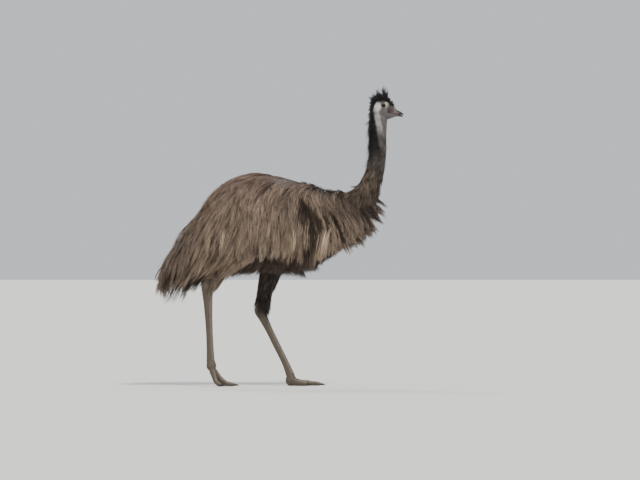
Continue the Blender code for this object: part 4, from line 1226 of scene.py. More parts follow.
def led(place, lie, roots):
    """Points and outward ways of many strands: roots holds a row of values for each."""
    u, v, length, sink, lift, lean = (roots[key] for key in WALK_KEYS)
    points, outs = [], []
    for step in range(STEPS + 1):
        share = step / STEPS
        depth = sink + (lift - sink) * share**LIFT_POWER
        here = place(u, v, depth)
        along_u = (place(u + NUDGE, v, depth) - here) / NUDGE
        along_v = (place(u, v + NUDGE, depth) - here) / NUDGE
        out = unit(np.cross(along_u, along_v))
        out *= np.where((out * (place(u, v, depth + 1) - here)).sum(-1) < 0, -1, 1)[:, None]
        points.append(here)
        outs.append(out)
        way = lie(u, v, lean * (0.4 + share))
        uu, vv, uv = ((a * b).sum(-1) for a, b in
                      ((along_u, along_u), (along_v, along_v), (along_u, along_v)))
        to_u, to_v = (way * along_u).sum(-1), (way * along_v).sum(-1)
        step_u, step_v = vv * to_u - uv * to_v, uu * to_v - uv * to_u
        move = along_u * step_u[:, None] + along_v * step_v[:, None]
        run = np.maximum(np.linalg.norm(move, axis=-1), 1e-12)
        u = u + step_u / run * length / STEPS
        v = v + step_v / run * length / STEPS
    return np.stack(points, 1), np.stack(outs, 1)


def hung(paths, share):
    """Lets strands fall straight below the widest place that they have passed."""
    y = paths[..., 1]
    widest = np.maximum.accumulate(np.abs(y), axis=1)
    paths[..., 1] = np.sign(y) * (np.abs(y) + share * (widest - np.abs(y)))
    return paths


# %% [markdown]
# A lock is a bundle. Its strands root round the guide's root, follow their own way at first, and
# are pulled over to the guide as they go, each to its own degree. A few stay loose, stand off and
# curl, and break up the outline as they do on the bird. Lengths differ, so the lock ends ragged.


# %% Bundling strands into locks
def bundled(guides, strands, plan):
    """Draws strands together along their guides and gives them a slight wave."""
    t = np.linspace(0, 1, STEPS + 1)
    number = len(strands)
    pull = plan["clump"] * dice.uniform(0.55, 1.0, number)
    stray = dice.uniform(0, 1, number) < plan.get("loose", 0.05)
    pull[stray] *= 0.25
    target = np.repeat(guides, number // len(guides), axis=0)
    paths = strands + (target - strands) * pull[:, None, None] * (t**1.25)[None, :, None]
    ahead = unit(np.gradient(paths, axis=1))
    across = unit(np.cross(ahead, SIDE + 0.2 * dice.normal(0, 1, (number, 1, 3))))
    third = np.cross(ahead, across)
    size = plan["wave"] * dice.uniform(0.3, 1.3, number) * np.where(stray, 2.5, 1.0)
    swing = dice.uniform(0, math.tau, (2, number, 1)) + t * dice.uniform(2, 8, (2, number, 1))
    swing = (np.sin(swing) - np.sin(swing[:, :, :1])) * (size[:, None] * t)
    return paths + across * swing[0][..., None] + third * swing[1][..., None]


def lock_field(place, lie, roots, plan):
    """Strands of many locks over a form, with a shade and a tone for each."""
    count = plan["strands"]
    guides, guide_outs = led(place, lie, roots)
    u, v = roots["u"], roots["v"]
    zero = np.zeros(len(u))
    here = place(u, v, zero)
    per_u = np.linalg.norm(place(u + NUDGE, v, zero) - here, axis=-1) / NUDGE
    per_v = np.linalg.norm(place(u, v + NUDGE, zero) - here, axis=-1) / NUDGE
    own = {key: np.repeat(values, count) for key, values in roots.items()}
    number = len(own["u"])
    aside = dice.normal(0, 0.5, (2, number)) * plan["spread"]
    own["u"] = own["u"] + aside[0] / np.repeat(per_u, count)
    own["v"] = own["v"] + aside[1] / np.repeat(np.maximum(per_v, 0.01), count)
    own["length"] = own["length"] * dice.uniform(0.72, 1.10, number)
    own["lift"] = own["lift"] + dice.normal(0, 0.07, number)
    own["lean"] = own["lean"] + dice.normal(0, 0.06, number)
    paths, outs = led(place, lie, own)
    paths = bundled(guides, paths, plan)
    if "hang" in plan:
        paths = hung(paths, plan["hang"])
    shade = np.repeat(dice.uniform(0, 1, len(u)), count) * 0.6 + dice.uniform(0, 1, number) * 0.4
    chart = np.stack([own["u"], own["v"]], -1)
    return {"paths": paths, "outs": outs, "shade": shade, "tone": own["tone"], "chart": chart}


def sprayed(roots, aims, bends, outs, plan):
    """Strands of locks that stand free in the air, along their aims and bending as they go.

    Their chart is the skin unrolled round a level axis at the plan's height.
    """
    t = np.linspace(0, 1, STEPS + 1)[None, :, None]
    guides = roots[:, None] + aims[:, None] * t + bends[:, None] * t**2
    count = plan["strands"]
    number = len(roots) * count
    aside = dice.normal(0, 0.5, (number, 1, 3)) * plan["spread"]
    reach = dice.uniform(0.6, 1.12, (number, 1, 1))
    fan = dice.normal(0, plan.get("fan", 0.06), (number, 1, 3))
    start = np.repeat(roots, count, axis=0)[:, None]
    size = np.linalg.norm(np.repeat(aims, count, axis=0), axis=-1)[:, None, None]
    paths = start + (np.repeat(guides, count, axis=0) - start) * reach + aside + fan * size * t
    paths = bundled(guides, paths, plan)
    outs = np.repeat(np.repeat(outs, count, axis=0)[:, None], STEPS + 1, axis=1)
    shade = np.repeat(dice.uniform(0, 1, len(roots)), count) * 0.6
    shade = shade + dice.uniform(0, 1, number) * 0.4
    tone = np.full(number, plan.get("tone", 0.5))
    x, y, z = paths[:, 0].T
    chart = np.stack([x - 0.5 * z, np.arctan2(y, z - plan["axis"])], -1)
    return {"paths": paths, "outs": outs, "shade": shade, "tone": tone, "chart": chart}


def rooted(u, v, length, lift, lean_spread, sink=-0.3, tone=0.5):
    """A table of roots from arrays and plain numbers."""
    count = len(u)
    table = {"u": u, "v": v, "length": length, "sink": sink, "lift": lift, "tone": tone}
    table["lean"] = dice.normal(0, lean_spread, count)
    return {key: np.broadcast_to(values, count).astype(float) for key, values in table.items()}


def chosen(field, mask):
    return {key: values[mask] for key, values in field.items()}


# %% [markdown]
# Each strand becomes a closed, three-sided tube, flattened like a blade of grass, that widens
# from its root and tapers to a point. Every point of it knows how far along it lies and which
# shade its lock has, for the colours. Each strand also gets a tiny patch on a flat chart of the
# skin, at its root's place, where baked colours can be kept.

# %% Strands as solid mesh
LONG_TAPER = np.array((0.7, 1.0, 0.95, 0.6))  # width at each ring; the tip is a point
SHORT_TAPER = np.array((0.8, 1.0, 0.6))
PATCH = 0.003


def strand_mesh(name, field, half_width, material, slot, taper=LONG_TAPER, flat=0.35):
    """One piece from many strands."""
    number, rings = len(field["paths"]), len(taper)
    picks = np.linspace(0, STEPS, rings + 1)
    low = np.minimum(picks.astype(int), STEPS - 1)
    part = (picks - low)[None, :, None]
    paths = field["paths"][:, low] * (1 - part) + field["paths"][:, low + 1] * part
    outs = unit(field["outs"][:, low] * (1 - part) + field["outs"][:, low + 1] * part)
    ahead = unit(np.gradient(paths, axis=1))
    roll = dice.normal(0, 0.5, (number, 1, 1))
    across = unit(np.cross(ahead, outs))
    out = np.cross(across, ahead)
    across, out = across * np.cos(roll) + out * np.sin(roll), out * np.cos(roll) - across * np.sin(roll)
    wide = half_width * dice.uniform(0.7, 1.3, (number, 1, 1)) * taper[None, :, None]
    corners = []
    for degrees in (90, 210, 330):
        turn = math.radians(degrees)
        side = across[:, :rings] * math.cos(turn) + out[:, :rings] * (flat * math.sin(turn))
        corners.append(paths[:, :rings] + side * wide)
    body = np.stack(corners, 2).reshape(number, rings * 3, 3)
    points = np.concatenate([body, paths[:, rings:]], 1)
    tip = rings * 3
    faces = [(0, 2, 1)]
    for i in range(rings - 1):
        for j in range(3):
            a, b = i * 3 + j, i * 3 + (j + 1) % 3
            faces += [(a, b, b + 3), (a, b + 3, a + 3)]
    faces += [(tip - 3 + j, tip - 3 + (j + 1) % 3, tip) for j in range(3)]
    per = tip + 1
    faces = (np.array(faces)[None] + np.arange(number)[:, None, None] * per).reshape(-1, 3)
    along = np.append(np.repeat(np.arange(rings) / rings, 3), 1.0)
    chart = field["chart"]
    chart = (chart - chart.min(0)) / np.maximum(np.ptp(chart, axis=0), 1e-6) * (1 - PATCH)
    aside = np.append(np.tile((0.0, 0.5, 1.0), rings), 0.5)
    patch = np.stack([aside, along], -1) * PATCH
    extra = {
        "along": np.tile(along, number),
        "across": np.tile(np.append(np.tile((0.5, 0.0, 1.0), rings), 0.5), number),
        "shade": np.repeat(field["shade"], per),
        "tone": np.repeat(field["tone"], per),
        "OFBake": (chart[:, None] + patch[None]).reshape(-1, 2),
    }
    piece = mesh_piece(name, points.reshape(-1, 3), faces, material, slot, extra)
    coat_sizes[name] = len(faces)
    return piece


coat_sizes = {}
print("coat tools ready")

# %% [markdown]
# Plumes are dark at the root and tan towards the tip, and every lock has its own tone. Over the
# whole bird the tone shifts: reddish on the back, greyer and darker to the tail, pale on the wing's
# own plumes, and black up the back of the neck. Painted shade darkens the parting and thin streaks
# between the locks, and a patch of painted sheen greys the top of the back.


# %% Plume finish
def barbs(tree, count):
    """Fine light and dark lines along a strand, so that it looks like several hairs."""
    along, across = attribute(tree, "along"), attribute(tree, "across")
    shade = attribute(tree, "shade")
    place = {0: across * count + shade * 91, 1: along * 1.5 + shade * 37, 2: shade * 53}
    lines = noise(tree, node(tree, "ShaderNodeCombineXYZ", {}, place), 1.0, 2.0)
    return smoothstep(lines, 0.36, 0.62)


# upper x and height, lower x and height, and half width of the slits of painted shade before the wing
SLITS = [(0.256, 0.905, 0.280, 0.785, 0.008), (0.302, 0.905, 0.352, 0.780, 0.011)]


def parting_shade(where, tone):
    """Painted shade: the dark wedge of the shaded parting over the wing, crossed by pale locks above, and two
    shaded slits before it.
    """
    x, y, z = split(shaken(where, 60, 0.030))
    middle = (0.138 + (z - 0.645) * 0.25).least(0.166 + (0.90 - z) * 0.45)
    reach = (0.018 + (z - 0.645) * 0.19).least((1.03 - z) * 0.48)
    inside = 1.0 - smoothstep((x - middle).size() - reach, -0.016, 0.006)
    inside = inside * (1.0 - smoothstep(tone, 0.58, 0.66) * smoothstep(z, 0.87, 0.92))
    for x_top, top, x_low, low, half in SLITS:
        line = x_low + (z - low) * ((x_top - x_low) / (top - low))
        slit = 1.0 - smoothstep((x - line).size(), half * 0.6, half * 1.4)
        inside = inside.most(slit * smoothstep(z, low - 0.02, low) * (1.0 - smoothstep(z, top, top + 0.03)))
    return inside * smoothstep(y, 0.06, 0.10)


def plume_paint(tree):
    along, shade = attribute(tree, "along"), attribute(tree, "shade")
    tone = attribute(tree, "tone")
    where = folded(tree)
    x, y, z = split(where)
    cloud = noise(tree, position(tree), 7, 4)
    root = mix(shade, (0.016, 0.011, 0.008), (0.036, 0.025, 0.018))
    body = mix(shade, (0.150, 0.106, 0.076), (0.690, 0.515, 0.385))
    body = mix(barbs(tree, 7) * 0.60, body, root)
    colour = mix(smoothstep(along + (cloud - 0.5) * 0.3, 0.12, 0.66), root, body)
    colour = mix(smoothstep(along, 0.60, 1.0) * 0.4, colour, (0.62, 0.48, 0.34))
    red = smoothstep(z + (cloud - 0.5) * 0.20, 0.98, 1.10)
    red = red * (1.0 - smoothstep(x.size(), 0.28, 0.42))
    colour = mix(red * 0.50, colour, (0.225, 0.150, 0.120))
    thigh = near(where, (-0.35, 0.16, 0.66), (0.13, 0.12, 0.12), 0.2)
    colour = mix(thigh * 0.35, colour, (0.300, 0.195, 0.125))
    # painted sheen: a pale grey-lilac patch on top of the back, where the plumes catch a sheen of light
    back_sheen = near(where, (0.02, 0.06, 1.10), (0.11, 0.12, 0.05), 0.2)
    colour = mix(back_sheen * 0.5, colour, (0.34, 0.30, 0.30))
    tail = 1.0 - smoothstep(x + (cloud - 0.5) * 0.25, -0.56, -0.36)
    colour = mix(tail * 0.46, colour, (0.125, 0.100, 0.080))
    shoulder = smoothstep(x + (cloud - 0.5) * 0.2, 0.20, 0.34) * smoothstep(z, 0.87, 0.94)
    colour = mix(shoulder * 0.66, colour, (0.085, 0.060, 0.045))
    breast = smoothstep(x, 0.30, 0.36)
    colour = mix(breast * 0.25, colour, (0.100, 0.082, 0.070))
    # dark: the own colour of dark plumes such as the belly's, and painted shade for the deep layer of the
    # thatch and the parting
    dark = mix(shade, (0.014, 0.010, 0.008), (0.080, 0.052, 0.035))
    # painted shade: thin dark streaks down the flank, in the root colour, stand in for the shaded gaps
    # between locks, where the dark roots show
    drawn_out = node(tree, "ShaderNodeVectorMath", {"operation": "MULTIPLY"}, {0: where, 1: (1, 1, 0.13)})
    streaks = smoothstep(noise(tree, drawn_out, 62, 2), 0.56, 0.68) * (1.0 - smoothstep(z, 0.98, 1.06))
    colour = mix(streaks * 0.62, colour, root)
    gap = parting_shade(where, tone) * 0.98
    colour = mix((1.0 - smoothstep(tone, 0.05, 0.48)).most(gap), colour, dark)
    pale = mix(shade, (0.42, 0.31, 0.21), (0.80, 0.64, 0.46))
    pale_share = smoothstep(tone, 0.60, 0.95) * smoothstep(along, 0.10, 0.45)
    return {"Base Color": mix(pale_share, colour, pale)}


def neck_plume_paint(tree):
    along, shade = attribute(tree, "along"), attribute(tree, "shade")
    marks = neck_marks(tree)
    where = marks["where"]
    x, y, z = split(where)
    root = mix(shade, (0.016, 0.012, 0.009), (0.036, 0.026, 0.019))
    body = mix(shade, (0.040, 0.029, 0.022), (0.430, 0.325, 0.240))
    body = mix(barbs(tree, 6) * 0.5, body, root)
    brown = mix(smoothstep(along, 0.25, 0.90), root, body)
    black = mix(shade, (0.006, 0.006, 0.009), (0.030, 0.027, 0.030))
    grey = mix(shade, (0.016, 0.014, 0.014), (0.220, 0.186, 0.165))
    brown = mix(smoothstep(z, 1.10, 1.26), brown, grey)
    light = mix(shade, (0.060, 0.056, 0.054), (0.240, 0.225, 0.215))
    brown = mix(smoothstep(z, 1.30, 1.42), brown, light)
    front = smoothstep(x, 0.512, 0.535) * (1.0 - smoothstep(z, 1.14, 1.20))
    brown = mix(front * 0.55, brown, (0.022, 0.016, 0.013))
    brown = mix(marks["lores"], brown, (0.052, 0.038, 0.036))
    colour = mix(marks["black"], brown, black)
    streak = marks["streak"].most(marks["patch"])
    pale = mix(shade, (0.30, 0.305, 0.305), (0.74, 0.73, 0.69))
    pale = mix(marks["cream"], pale, (0.50, 0.47, 0.36))
    colour = mix(streak * (1.0 - marks["black"]), colour, pale)
    return {"Base Color": colour}


def crest_paint(tree):
    shade, along = attribute(tree, "shade"), attribute(tree, "along")
    colour = mix(shade, (0.006, 0.006, 0.009), (0.030, 0.027, 0.030))
    return {"Base Color": mix(smoothstep(along, 0.7, 1.0) * 0.3, colour, (0.06, 0.050, 0.050))}


def leg_plume_paint(tree):
    along, shade = attribute(tree, "along"), attribute(tree, "shade")
    x, y, z = split(position(tree))
    body = mix(shade, (0.095, 0.070, 0.048), (0.320, 0.240, 0.170))
    colour = mix(smoothstep(along, 0.05, 0.60), (0.028, 0.022, 0.016), body)
    # painted shade: the plumes of the far, left leg turn near black, with a few pale strands, for the shadow
    # it stands in; both legs wear the same plumes
    far = smoothstep(y, 0.01, 0.03)
    dark = mix(smoothstep(shade, 0.80, 0.90), (0.018, 0.016, 0.015), (0.16, 0.14, 0.11))
    return {"Base Color": mix(far * 0.85, colour, dark)}


matt = {"Roughness": 0.70, "Specular_IOR_Level": 0.22, "Sheen_Weight": 0.04}
plume_material = finish("plumes", plume_paint, **matt)
neck_material = finish("neck_plumes", neck_plume_paint, **matt)
crest_material = finish("crest_hair", crest_paint, Roughness=0.5, Specular_IOR_Level=0.35)
leg_material = finish("leg_plumes", leg_plume_paint, **matt)
print("plume finishes ready")

# %% [markdown]
# ### Trunk
#
# About two and a half thousand locks cover the trunk in three layers, like thatch. A third lie low
# and dark, a third in the middle, and the rest on top are the palest and let the dark ones show
# between them: the darker tones of the low layers are painted shade of the gaps. Along the spine
# they start high, because each lies on the ones before it. The light locks end at an uneven hem,
# below which the thin dark coat of the belly shows, and which drops over the thighs and the tail.
# Over the small wing the coat is parted: the locks there stay low, and their dark tones are
# painted shade of the parting.

# %% Hem and parting
HEM = np.array([
    (-0.68, 0.500),
    (-0.60, 0.470),
    (-0.50, 0.500),
    (-0.43, 0.545),
    (-0.33, 0.575),
    (-0.25, 0.660),
    (-0.18, 0.720),
    (-0.10, 0.738),
    (0.00, 0.728),
    (0.12, 0.733),
    (0.22, 0.735),
    (0.32, 0.760),
    (0.42, 0.785),
    (0.52, 0.850),
    (0.60, 0.920),
])
# height, left and right edge of each parting, darkened with painted shade
PARTINGS = [
    np.array([
        (0.645, 0.140, 0.162),
        (0.700, 0.158, 0.190),
        (0.765, 0.150, 0.218),
        (0.834, 0.124, 0.226),
        (0.900, 0.105, 0.218),
        (0.930, 0.101, 0.200),
        (0.980, 0.103, 0.155),
        (1.022, 0.105, 0.112),
    ]),
    np.array([
        (0.770, 0.268, 0.292),
        (0.860, 0.261, 0.279),
        (0.946, 0.260, 0.268),
    ]),
    np.array([
        (0.770, 0.346, 0.374),
        (0.850, 0.316, 0.340),
        (0.920, 0.290, 0.300),
    ]),
]


def parted(points):
    """Share of each path that runs inside a parting."""
    x, z = points[..., 0], points[..., 2]
    inside = np.zeros(x.shape, bool)
    for rows in PARTINGS:
        left, right = (np.interp(z, rows[:, 0], rows[:, k]) for k in (1, 2))
        inside |= (x > left) & (x < right) & (z > rows[0, 0]) & (z < rows[-1, 0])
    return inside[:, 3:].mean(-1)


# %% Trunk plumes
TRUNK_STEP, TRUNK_GAP = 0.0185, 0.0215
TRUNK_PLAN = {"strands": 12, "spread": 0.018, "clump": 0.97, "wave": 0.0036, "hang": 0.6}
TRUNK_PLAN["loose"] = 0.09
BRIGHT = (0.064, 0.800, 0.036, 0.120)  # x and height of the brightest locks, and how far they reach
# share of the locks, how high they lie, and tone from and to, of each layer of the thatch; the low layers'
# darker tones are painted shade
LAYERS = np.array([
    (0.36, 0.50, 0.02, 0.24),
    (0.34, 0.78, 0.22, 0.52),
    (0.30, 1.03, 0.46, 0.80),
])

u, v = scattered(trunk, -0.570, 0.495, TRUNK_STEP, TRUNK_GAP)
under_neck = ((u > 0.37) & (np.abs(v) < 0.8)) | (u > 0.455)
u, v = u[~under_neck], v[~under_neck]
count = len(u)
round_turn = np.degrees(np.abs(v))
length = 0.25 * np.interp(round_turn, (0, 90, 120, 145, 180), (0.96, 1.0, 0.90, 0.50, 0.40))
length = length * np.interp(u, (-0.6, -0.5, 0.30, 0.5), (0.62, 0.92, 0.92, 0.80))
length = length * dice.uniform(0.80, 1.14, count)
layer = LAYERS[dice.choice(len(LAYERS), count, p=LAYERS[:, 0])]
lift = dice.normal(layer[:, 1], 0.07)
tone = dice.uniform(layer[:, 2], layer[:, 3])
spine = np.clip(1 - round_turn / 32, 0, 1)
roots = rooted(u, v, length, lift + 0.15 * spine, 0.12, -0.3 + 0.95 * spine, tone)
guides = led(trunk, plume_lie, roots)[0]
start, end = guides[:, 0], guides[:, -1]
hem = np.interp(end[:, 0], HEM[:, 0], HEM[:, 1]) + dice.normal(0, 0.019, count)
fall = np.maximum(start[:, 2] - end[:, 2], 0.01)
room = np.clip((start[:, 2] - hem) / fall, 0.05, 1.0)
belly = (start[:, 2] - hem < 0.045) | (round_turn > 128)
in_parting = (parted(guides) > 0.5) & ~belly
# locks in the parting lie low, and their dark tones are painted shade of the recess
roots["lift"] = np.where(in_parting, dice.uniform(0.2, 0.5, count), roots["lift"])
roots["tone"] = np.where(in_parting, dice.uniform(0.0, 0.24, count), roots["tone"])
roots["length"] = roots["length"] * np.where(belly, 1.0, room)
roots["length"] = np.where(belly, np.minimum(roots["length"], 0.105), roots["length"])
roots["tone"] = np.where(belly, dice.uniform(0.0, 0.18, count), roots["tone"])
drop = dice.uniform(0.7, 1.6, count) * np.interp(u, (0.12, 0.25), (1.0, 0.55))
roots["lift"] = np.where(belly, drop, roots["lift"])
on_top = (round_turn < 60) & ~in_parting
roots["tone"] = np.where(on_top, 0.45 * roots["tone"] + 0.55 * 0.48, roots["tone"])
middle = guides[:, STEPS // 2]
bright = np.hypot((middle[:, 0] - BRIGHT[0]) / BRIGHT[2], (middle[:, 2] - BRIGHT[1]) / BRIGHT[3]) < 1
bright &= (layer[:, 1] > 0.6) & ~in_parting
roots["tone"] = np.where(bright, roots["tone"] + 0.20, roots["tone"])
trunk_coat = lock_field(trunk, plume_lie, roots, TRUNK_PLAN)
root_x, root_turn = trunk_coat["chart"].T
own_side = trunk_coat["paths"][..., 1] * np.sign(root_turn)[:, None]
astray = (own_side.min(axis=1) < -0.015) & ((root_x < -0.10) | (root_x > 0.33))
trunk_coat = chosen(trunk_coat, ~astray)
print("trunk:", count, "locks,", len(trunk_coat["paths"]), "strands")

root_x, root_turn = trunk_coat["chart"].T
parts = {
    "tail": root_x < -0.44,
    "rump": (root_x >= -0.44) & (root_x < -0.27),
    "back": (root_x >= -0.27) & (root_x < -0.12),
    "flank": (root_x >= -0.12) & (root_x < 0.03),
    "side": (root_x >= 0.03) & (root_x < 0.18),
    "shoulder": (root_x >= 0.18) & (root_x < 0.33),
    "breast": root_x >= 0.33,
}
for name, mask in parts.items():
    for side, word in WORDS.items():
        here = chosen(trunk_coat, mask & (root_turn * side > 0))
        strand_mesh(f"plumes_{name}_{word}", here, 0.0017, plume_material, "body_plumes")
print("trunk plumes:", coat_sizes)

# %% [markdown]
# Past the end of the body there is nothing left to lead a plume along. The tail is only a bunch
# of long limp plumes, so they leave the skin backwards and droop under their own weight.

# %% Tail plumes
TAIL_LOCKS = 150
TAIL_PLAN = {"strands": 16, "spread": 0.020, "clump": 0.92, "wave": 0.0035, "axis": 0.64}
TAIL_TONES = (0.28, 0.42, 0.52)  # a third of the locks each

root_x = dice.uniform(-0.592, -0.490, TAIL_LOCKS)
root_turn = dice.uniform(-math.pi, math.pi, TAIL_LOCKS)
roots = trunk(root_x, root_turn, np.full(TAIL_LOCKS, 0.1))
lean = np.radians(dice.normal(27, 6, TAIL_LOCKS))
size = dice.uniform(0.090, 0.162, TAIL_LOCKS)
aims = np.stack([-np.sin(lean), 0.22 * np.sin(root_turn), -np.cos(lean)], -1) * size[:, None]
outs = unit(np.stack([-0.5 + 0 * lean, np.sin(root_turn), np.cos(root_turn)], -1))
droop = np.array((0.30, 0, -0.16)) * size[:, None]
field = sprayed(roots, aims - droop, droop, outs, TAIL_PLAN)
tips = roots + aims
tone = np.where((tips[:, 2] < 0.58) & (tips[:, 0] > -0.62), 0.08, dice.choice(TAIL_TONES, TAIL_LOCKS))
field["tone"] = np.repeat(tone, TAIL_PLAN["strands"])
strand_mesh("plumes_tail_end", field, 0.0017, plume_material, "body_plumes")
print("tail locks:", TAIL_LOCKS)

# %% [markdown]
# Where the right thigh is thrust back, long tan strands of the hem are drawn along its front edge.

# %% Strands over the thigh
SWEEP_LOCKS = 22
share = np.linspace(0, 1, SWEEP_LOCKS)[:, None]
roots = np.array((-0.050, -0.160, 0.765)) * (1 - share) + np.array((-0.190, -0.160, 0.722)) * share
tips = np.array((-0.225, -0.156, 0.642)) * (1 - share) + np.array((-0.322, -0.140, 0.562)) * share
roots = roots + dice.normal(0, 0.010, roots.shape) * (1, 0.4, 1)
aims = tips + dice.normal(0, 0.010, roots.shape) * (1, 0.4, 1) - roots
outs = np.repeat(-SIDE[None], SWEEP_LOCKS, axis=0)
sag = DOWN * 0.018 + np.zeros_like(roots)
sweep_plan = {"strands": 22, "spread": 0.017, "clump": 0.9, "wave": 0.003, "axis": 0.8}
field = sprayed(roots, aims - sag, sag, outs, sweep_plan)
field["tone"] = np.repeat(dice.uniform(0.40, 0.75, SWEEP_LOCKS), sweep_plan["strands"])
strand_mesh("plumes_thigh_sweep", field, 0.0016, plume_material, "body_plumes")
print("sweeping locks:", SWEEP_LOCKS)

# %% [markdown]
# At the breast the locks hang free. They fall forward and down from the foot of the neck in long
# ragged tufts, and a few wisps stand against the sky.

# %% Breast tufts
# root x and height, tip x and height, away from the middle
WISPS = [
    (0.485, 1.030, 0.588, 0.962, 0.012),
    (0.478, 1.005, 0.578, 0.935, 0.024),
    (0.470, 0.985, 0.582, 0.912, 0.030),
    (0.455, 0.950, 0.572, 0.872, 0.020),
    (0.440, 0.915, 0.545, 0.830, 0.036),
    (0.425, 0.890, 0.512, 0.800, 0.050),
]
BREAST_LOCKS = 190
BREAST_PLAN = {"strands": 16, "spread": 0.017, "clump": 0.93, "wave": 0.0034, "fan": 0.04}
BREAST_PLAN["axis"] = 0.78

down_share = dice.uniform(0, 1, BREAST_LOCKS)
aside = dice.uniform(0, 1, BREAST_LOCKS) ** 0.8
flip = np.where(np.arange(BREAST_LOCKS) % 2 == 0, 1, -1)
breadth = 0.055 + 0.060 * down_share
roots = np.stack([
    0.478 - 0.125 * down_share - 0.075 * aside**2,
    flip * aside * breadth,
    1.020 - 0.215 * down_share + 0.020 * aside,
], -1)
lean = np.radians(dice.normal(33, 10, BREAST_LOCKS) - 9 * aside)
size = dice.uniform(0.085, 0.180, BREAST_LOCKS) * (1 - 0.25 * down_share)
aims = np.stack([np.sin(lean), flip * (0.10 + 0.16 * aside), -np.cos(lean)], -1) * size[:, None]
wisps = np.array([(x0, y * side, z0) for x0, z0, x1, z1, y in WISPS for side in WORDS])
tips = np.array([(x1, 1.4 * y * side, z1) for x0, z0, x1, z1, y in WISPS for side in WORDS])
roots = np.concatenate([roots, wisps])
aims = np.concatenate([aims, tips - wisps])
outs = SIDE * np.sign(roots[:, 1:2])
size = np.linalg.norm(aims, axis=-1)[:, None]
sag = size * DOWN * 0.14
field = sprayed(roots, aims - sag, sag, outs + (0.5, 0, 0), BREAST_PLAN)
lock_tone = dice.uniform(0.14, 0.70, len(roots)) * np.interp(roots[:, 2], (0.97, 1.02), (1.0, 0.3))
field["tone"] = np.repeat(lock_tone, BREAST_PLAN["strands"])
strand_mesh("plumes_breast_tufts", field, 0.0016, plume_material, "body_plumes")
print("breast tufts:", len(roots))

APRON_LOCKS = 46
root_x = dice.uniform(0.395, 0.492, APRON_LOCKS)
root_turn = math.pi + dice.normal(0, 0.50, APRON_LOCKS)
roots = trunk(root_x, root_turn, np.full(APRON_LOCKS, 0.1))
lean = np.radians(dice.normal(16, 10, APRON_LOCKS))
size = dice.uniform(0.045, 0.080, APRON_LOCKS)[:, None]
aims = np.stack([np.sin(lean), 0.3 * np.sin(root_turn), -np.cos(lean)], -1) * size
outs = unit(np.stack([0.8 + 0 * lean, np.sin(root_turn), np.cos(root_turn)], -1))
sag = size * DOWN * 0.10
field = sprayed(roots, aims - sag, sag, outs, BREAST_PLAN)
field["tone"] = np.repeat(dice.uniform(0.10, 0.50, APRON_LOCKS), BREAST_PLAN["strands"])
strand_mesh("plumes_breast_middle", field, 0.0016, plume_material, "body_plumes")
print("tufts of the breast's middle:", APRON_LOCKS)

# %% [markdown]
# ### Wings
#
# The small wing is hidden in the coat, all but a fan of its own pale plumes that droop from the
# hand at the lower end of the parting.

# %% Wing plumes
WING_PLUMES = 18
WING_TONES = {"pale": (0.0, 0.24, 0.66, 0.95), "dark": (0.30, 1.0, 0.0, 0.30)}  # from, to, tones
WING_PLAN = {"strands": 24, "spread": 0.019, "clump": 0.88, "wave": 0.003, "axis": 0.84}

for name, (first, last, dull, bright) in WING_TONES.items():
    roots, aims, outs = [], [], []
    for side in WORDS:
        for share in np.linspace(first, last, WING_PLUMES // 2):
            root = on_side((0.282 - 0.130 * share, 0.148, 0.850 + dice.uniform(0, 0.05)), side)
            tip = (0.236 - 0.105 * share, 0.180 + 0.008 * share, 0.668 - 0.020 * share)
            roots.append(root)
            aims.append(on_side(tip, side) + dice.normal(0, 0.009, 3) * (1, 0.3, 2) - root)
            outs.append(SIDE * side)
    roots, aims, outs = np.array(roots), np.array(aims), np.array(outs)
    bow = outs * 0.030
    field = sprayed(roots, aims + bow, -bow, outs, WING_PLAN)
    field["tone"] = np.repeat(dice.uniform(dull, bright, len(roots)), WING_PLAN["strands"])
    strand_mesh(f"plumes_wings_{name}", field, 0.0016, plume_material, "body_plumes")
print("wing plumes:", 2 * WING_PLUMES)

# %% [markdown]
# ### Thighs
#
# The feathered drumsticks wear shorter, closer tufts. The lowest ones hang down past the ankle and
# end raggedly over the top of the bare shank.

# %% Drumstick plumes
LEG_PLAN = {"strands": 10, "spread": 0.017, "clump": 0.8, "wave": 0.0022}

for side, word in WORDS.items():
    u, v = scattered(drumsticks[side], 0.02, 0.88, 0.040, 0.017)
    length = np.interp(u, (0, 0.5, 0.88), (0.110, 0.085, 0.050)) * dice.uniform(0.6, 1.1, len(u))
    lift = dice.normal(0.8, 0.25, len(u)) * np.interp(u, (0.5, 0.85), (1.0, 0.5))
    roots = rooted(u, v, length, lift, 0.25)
    field = lock_field(drumsticks[side], leg_lie, roots, LEG_PLAN)
    strand_mesh(f"plumes_drumstick_{word}", field, 0.0018, leg_material, "leg_plumes", SHORT_TAPER)
    print("drumstick:", len(u), "locks")

ANKLE_LOCKS = 64
ANKLE_REACH = {RIGHT: 0.20, LEFT: 0.20}  # share of the shank that they cover
ANKLE_PLAN = {"strands": 14, "spread": 0.009, "clump": 0.75, "wave": 0.0020, "axis": 0.0}
for side, word in WORDS.items():
    turn = dice.uniform(-math.pi, math.pi, ANKLE_LOCKS)
    roots = drumsticks[side](dice.uniform(0.78, 0.99, ANKLE_LOCKS), turn, np.full(ANKLE_LOCKS, -0.4))
    share = dice.uniform(0.05, ANKLE_REACH[side], ANKLE_LOCKS)
    tips = shanks[side](share, turn, dice.uniform(1, 6, ANKLE_LOCKS))
    low = np.full(ANKLE_LOCKS, -1.0)
    outs = unit(shanks[side](share, turn, -low) - shanks[side](share, turn, low))
    bow = outs * 0.006
    field = sprayed(roots, tips - roots + bow, -bow, outs, ANKLE_PLAN)
    field["chart"] = np.repeat(np.stack([share, turn], -1), ANKLE_PLAN["strands"], axis=0)
    strand_mesh(f"plumes_ankle_{word}", field, 0.0016, leg_material, "leg_plumes", SHORT_TAPER)
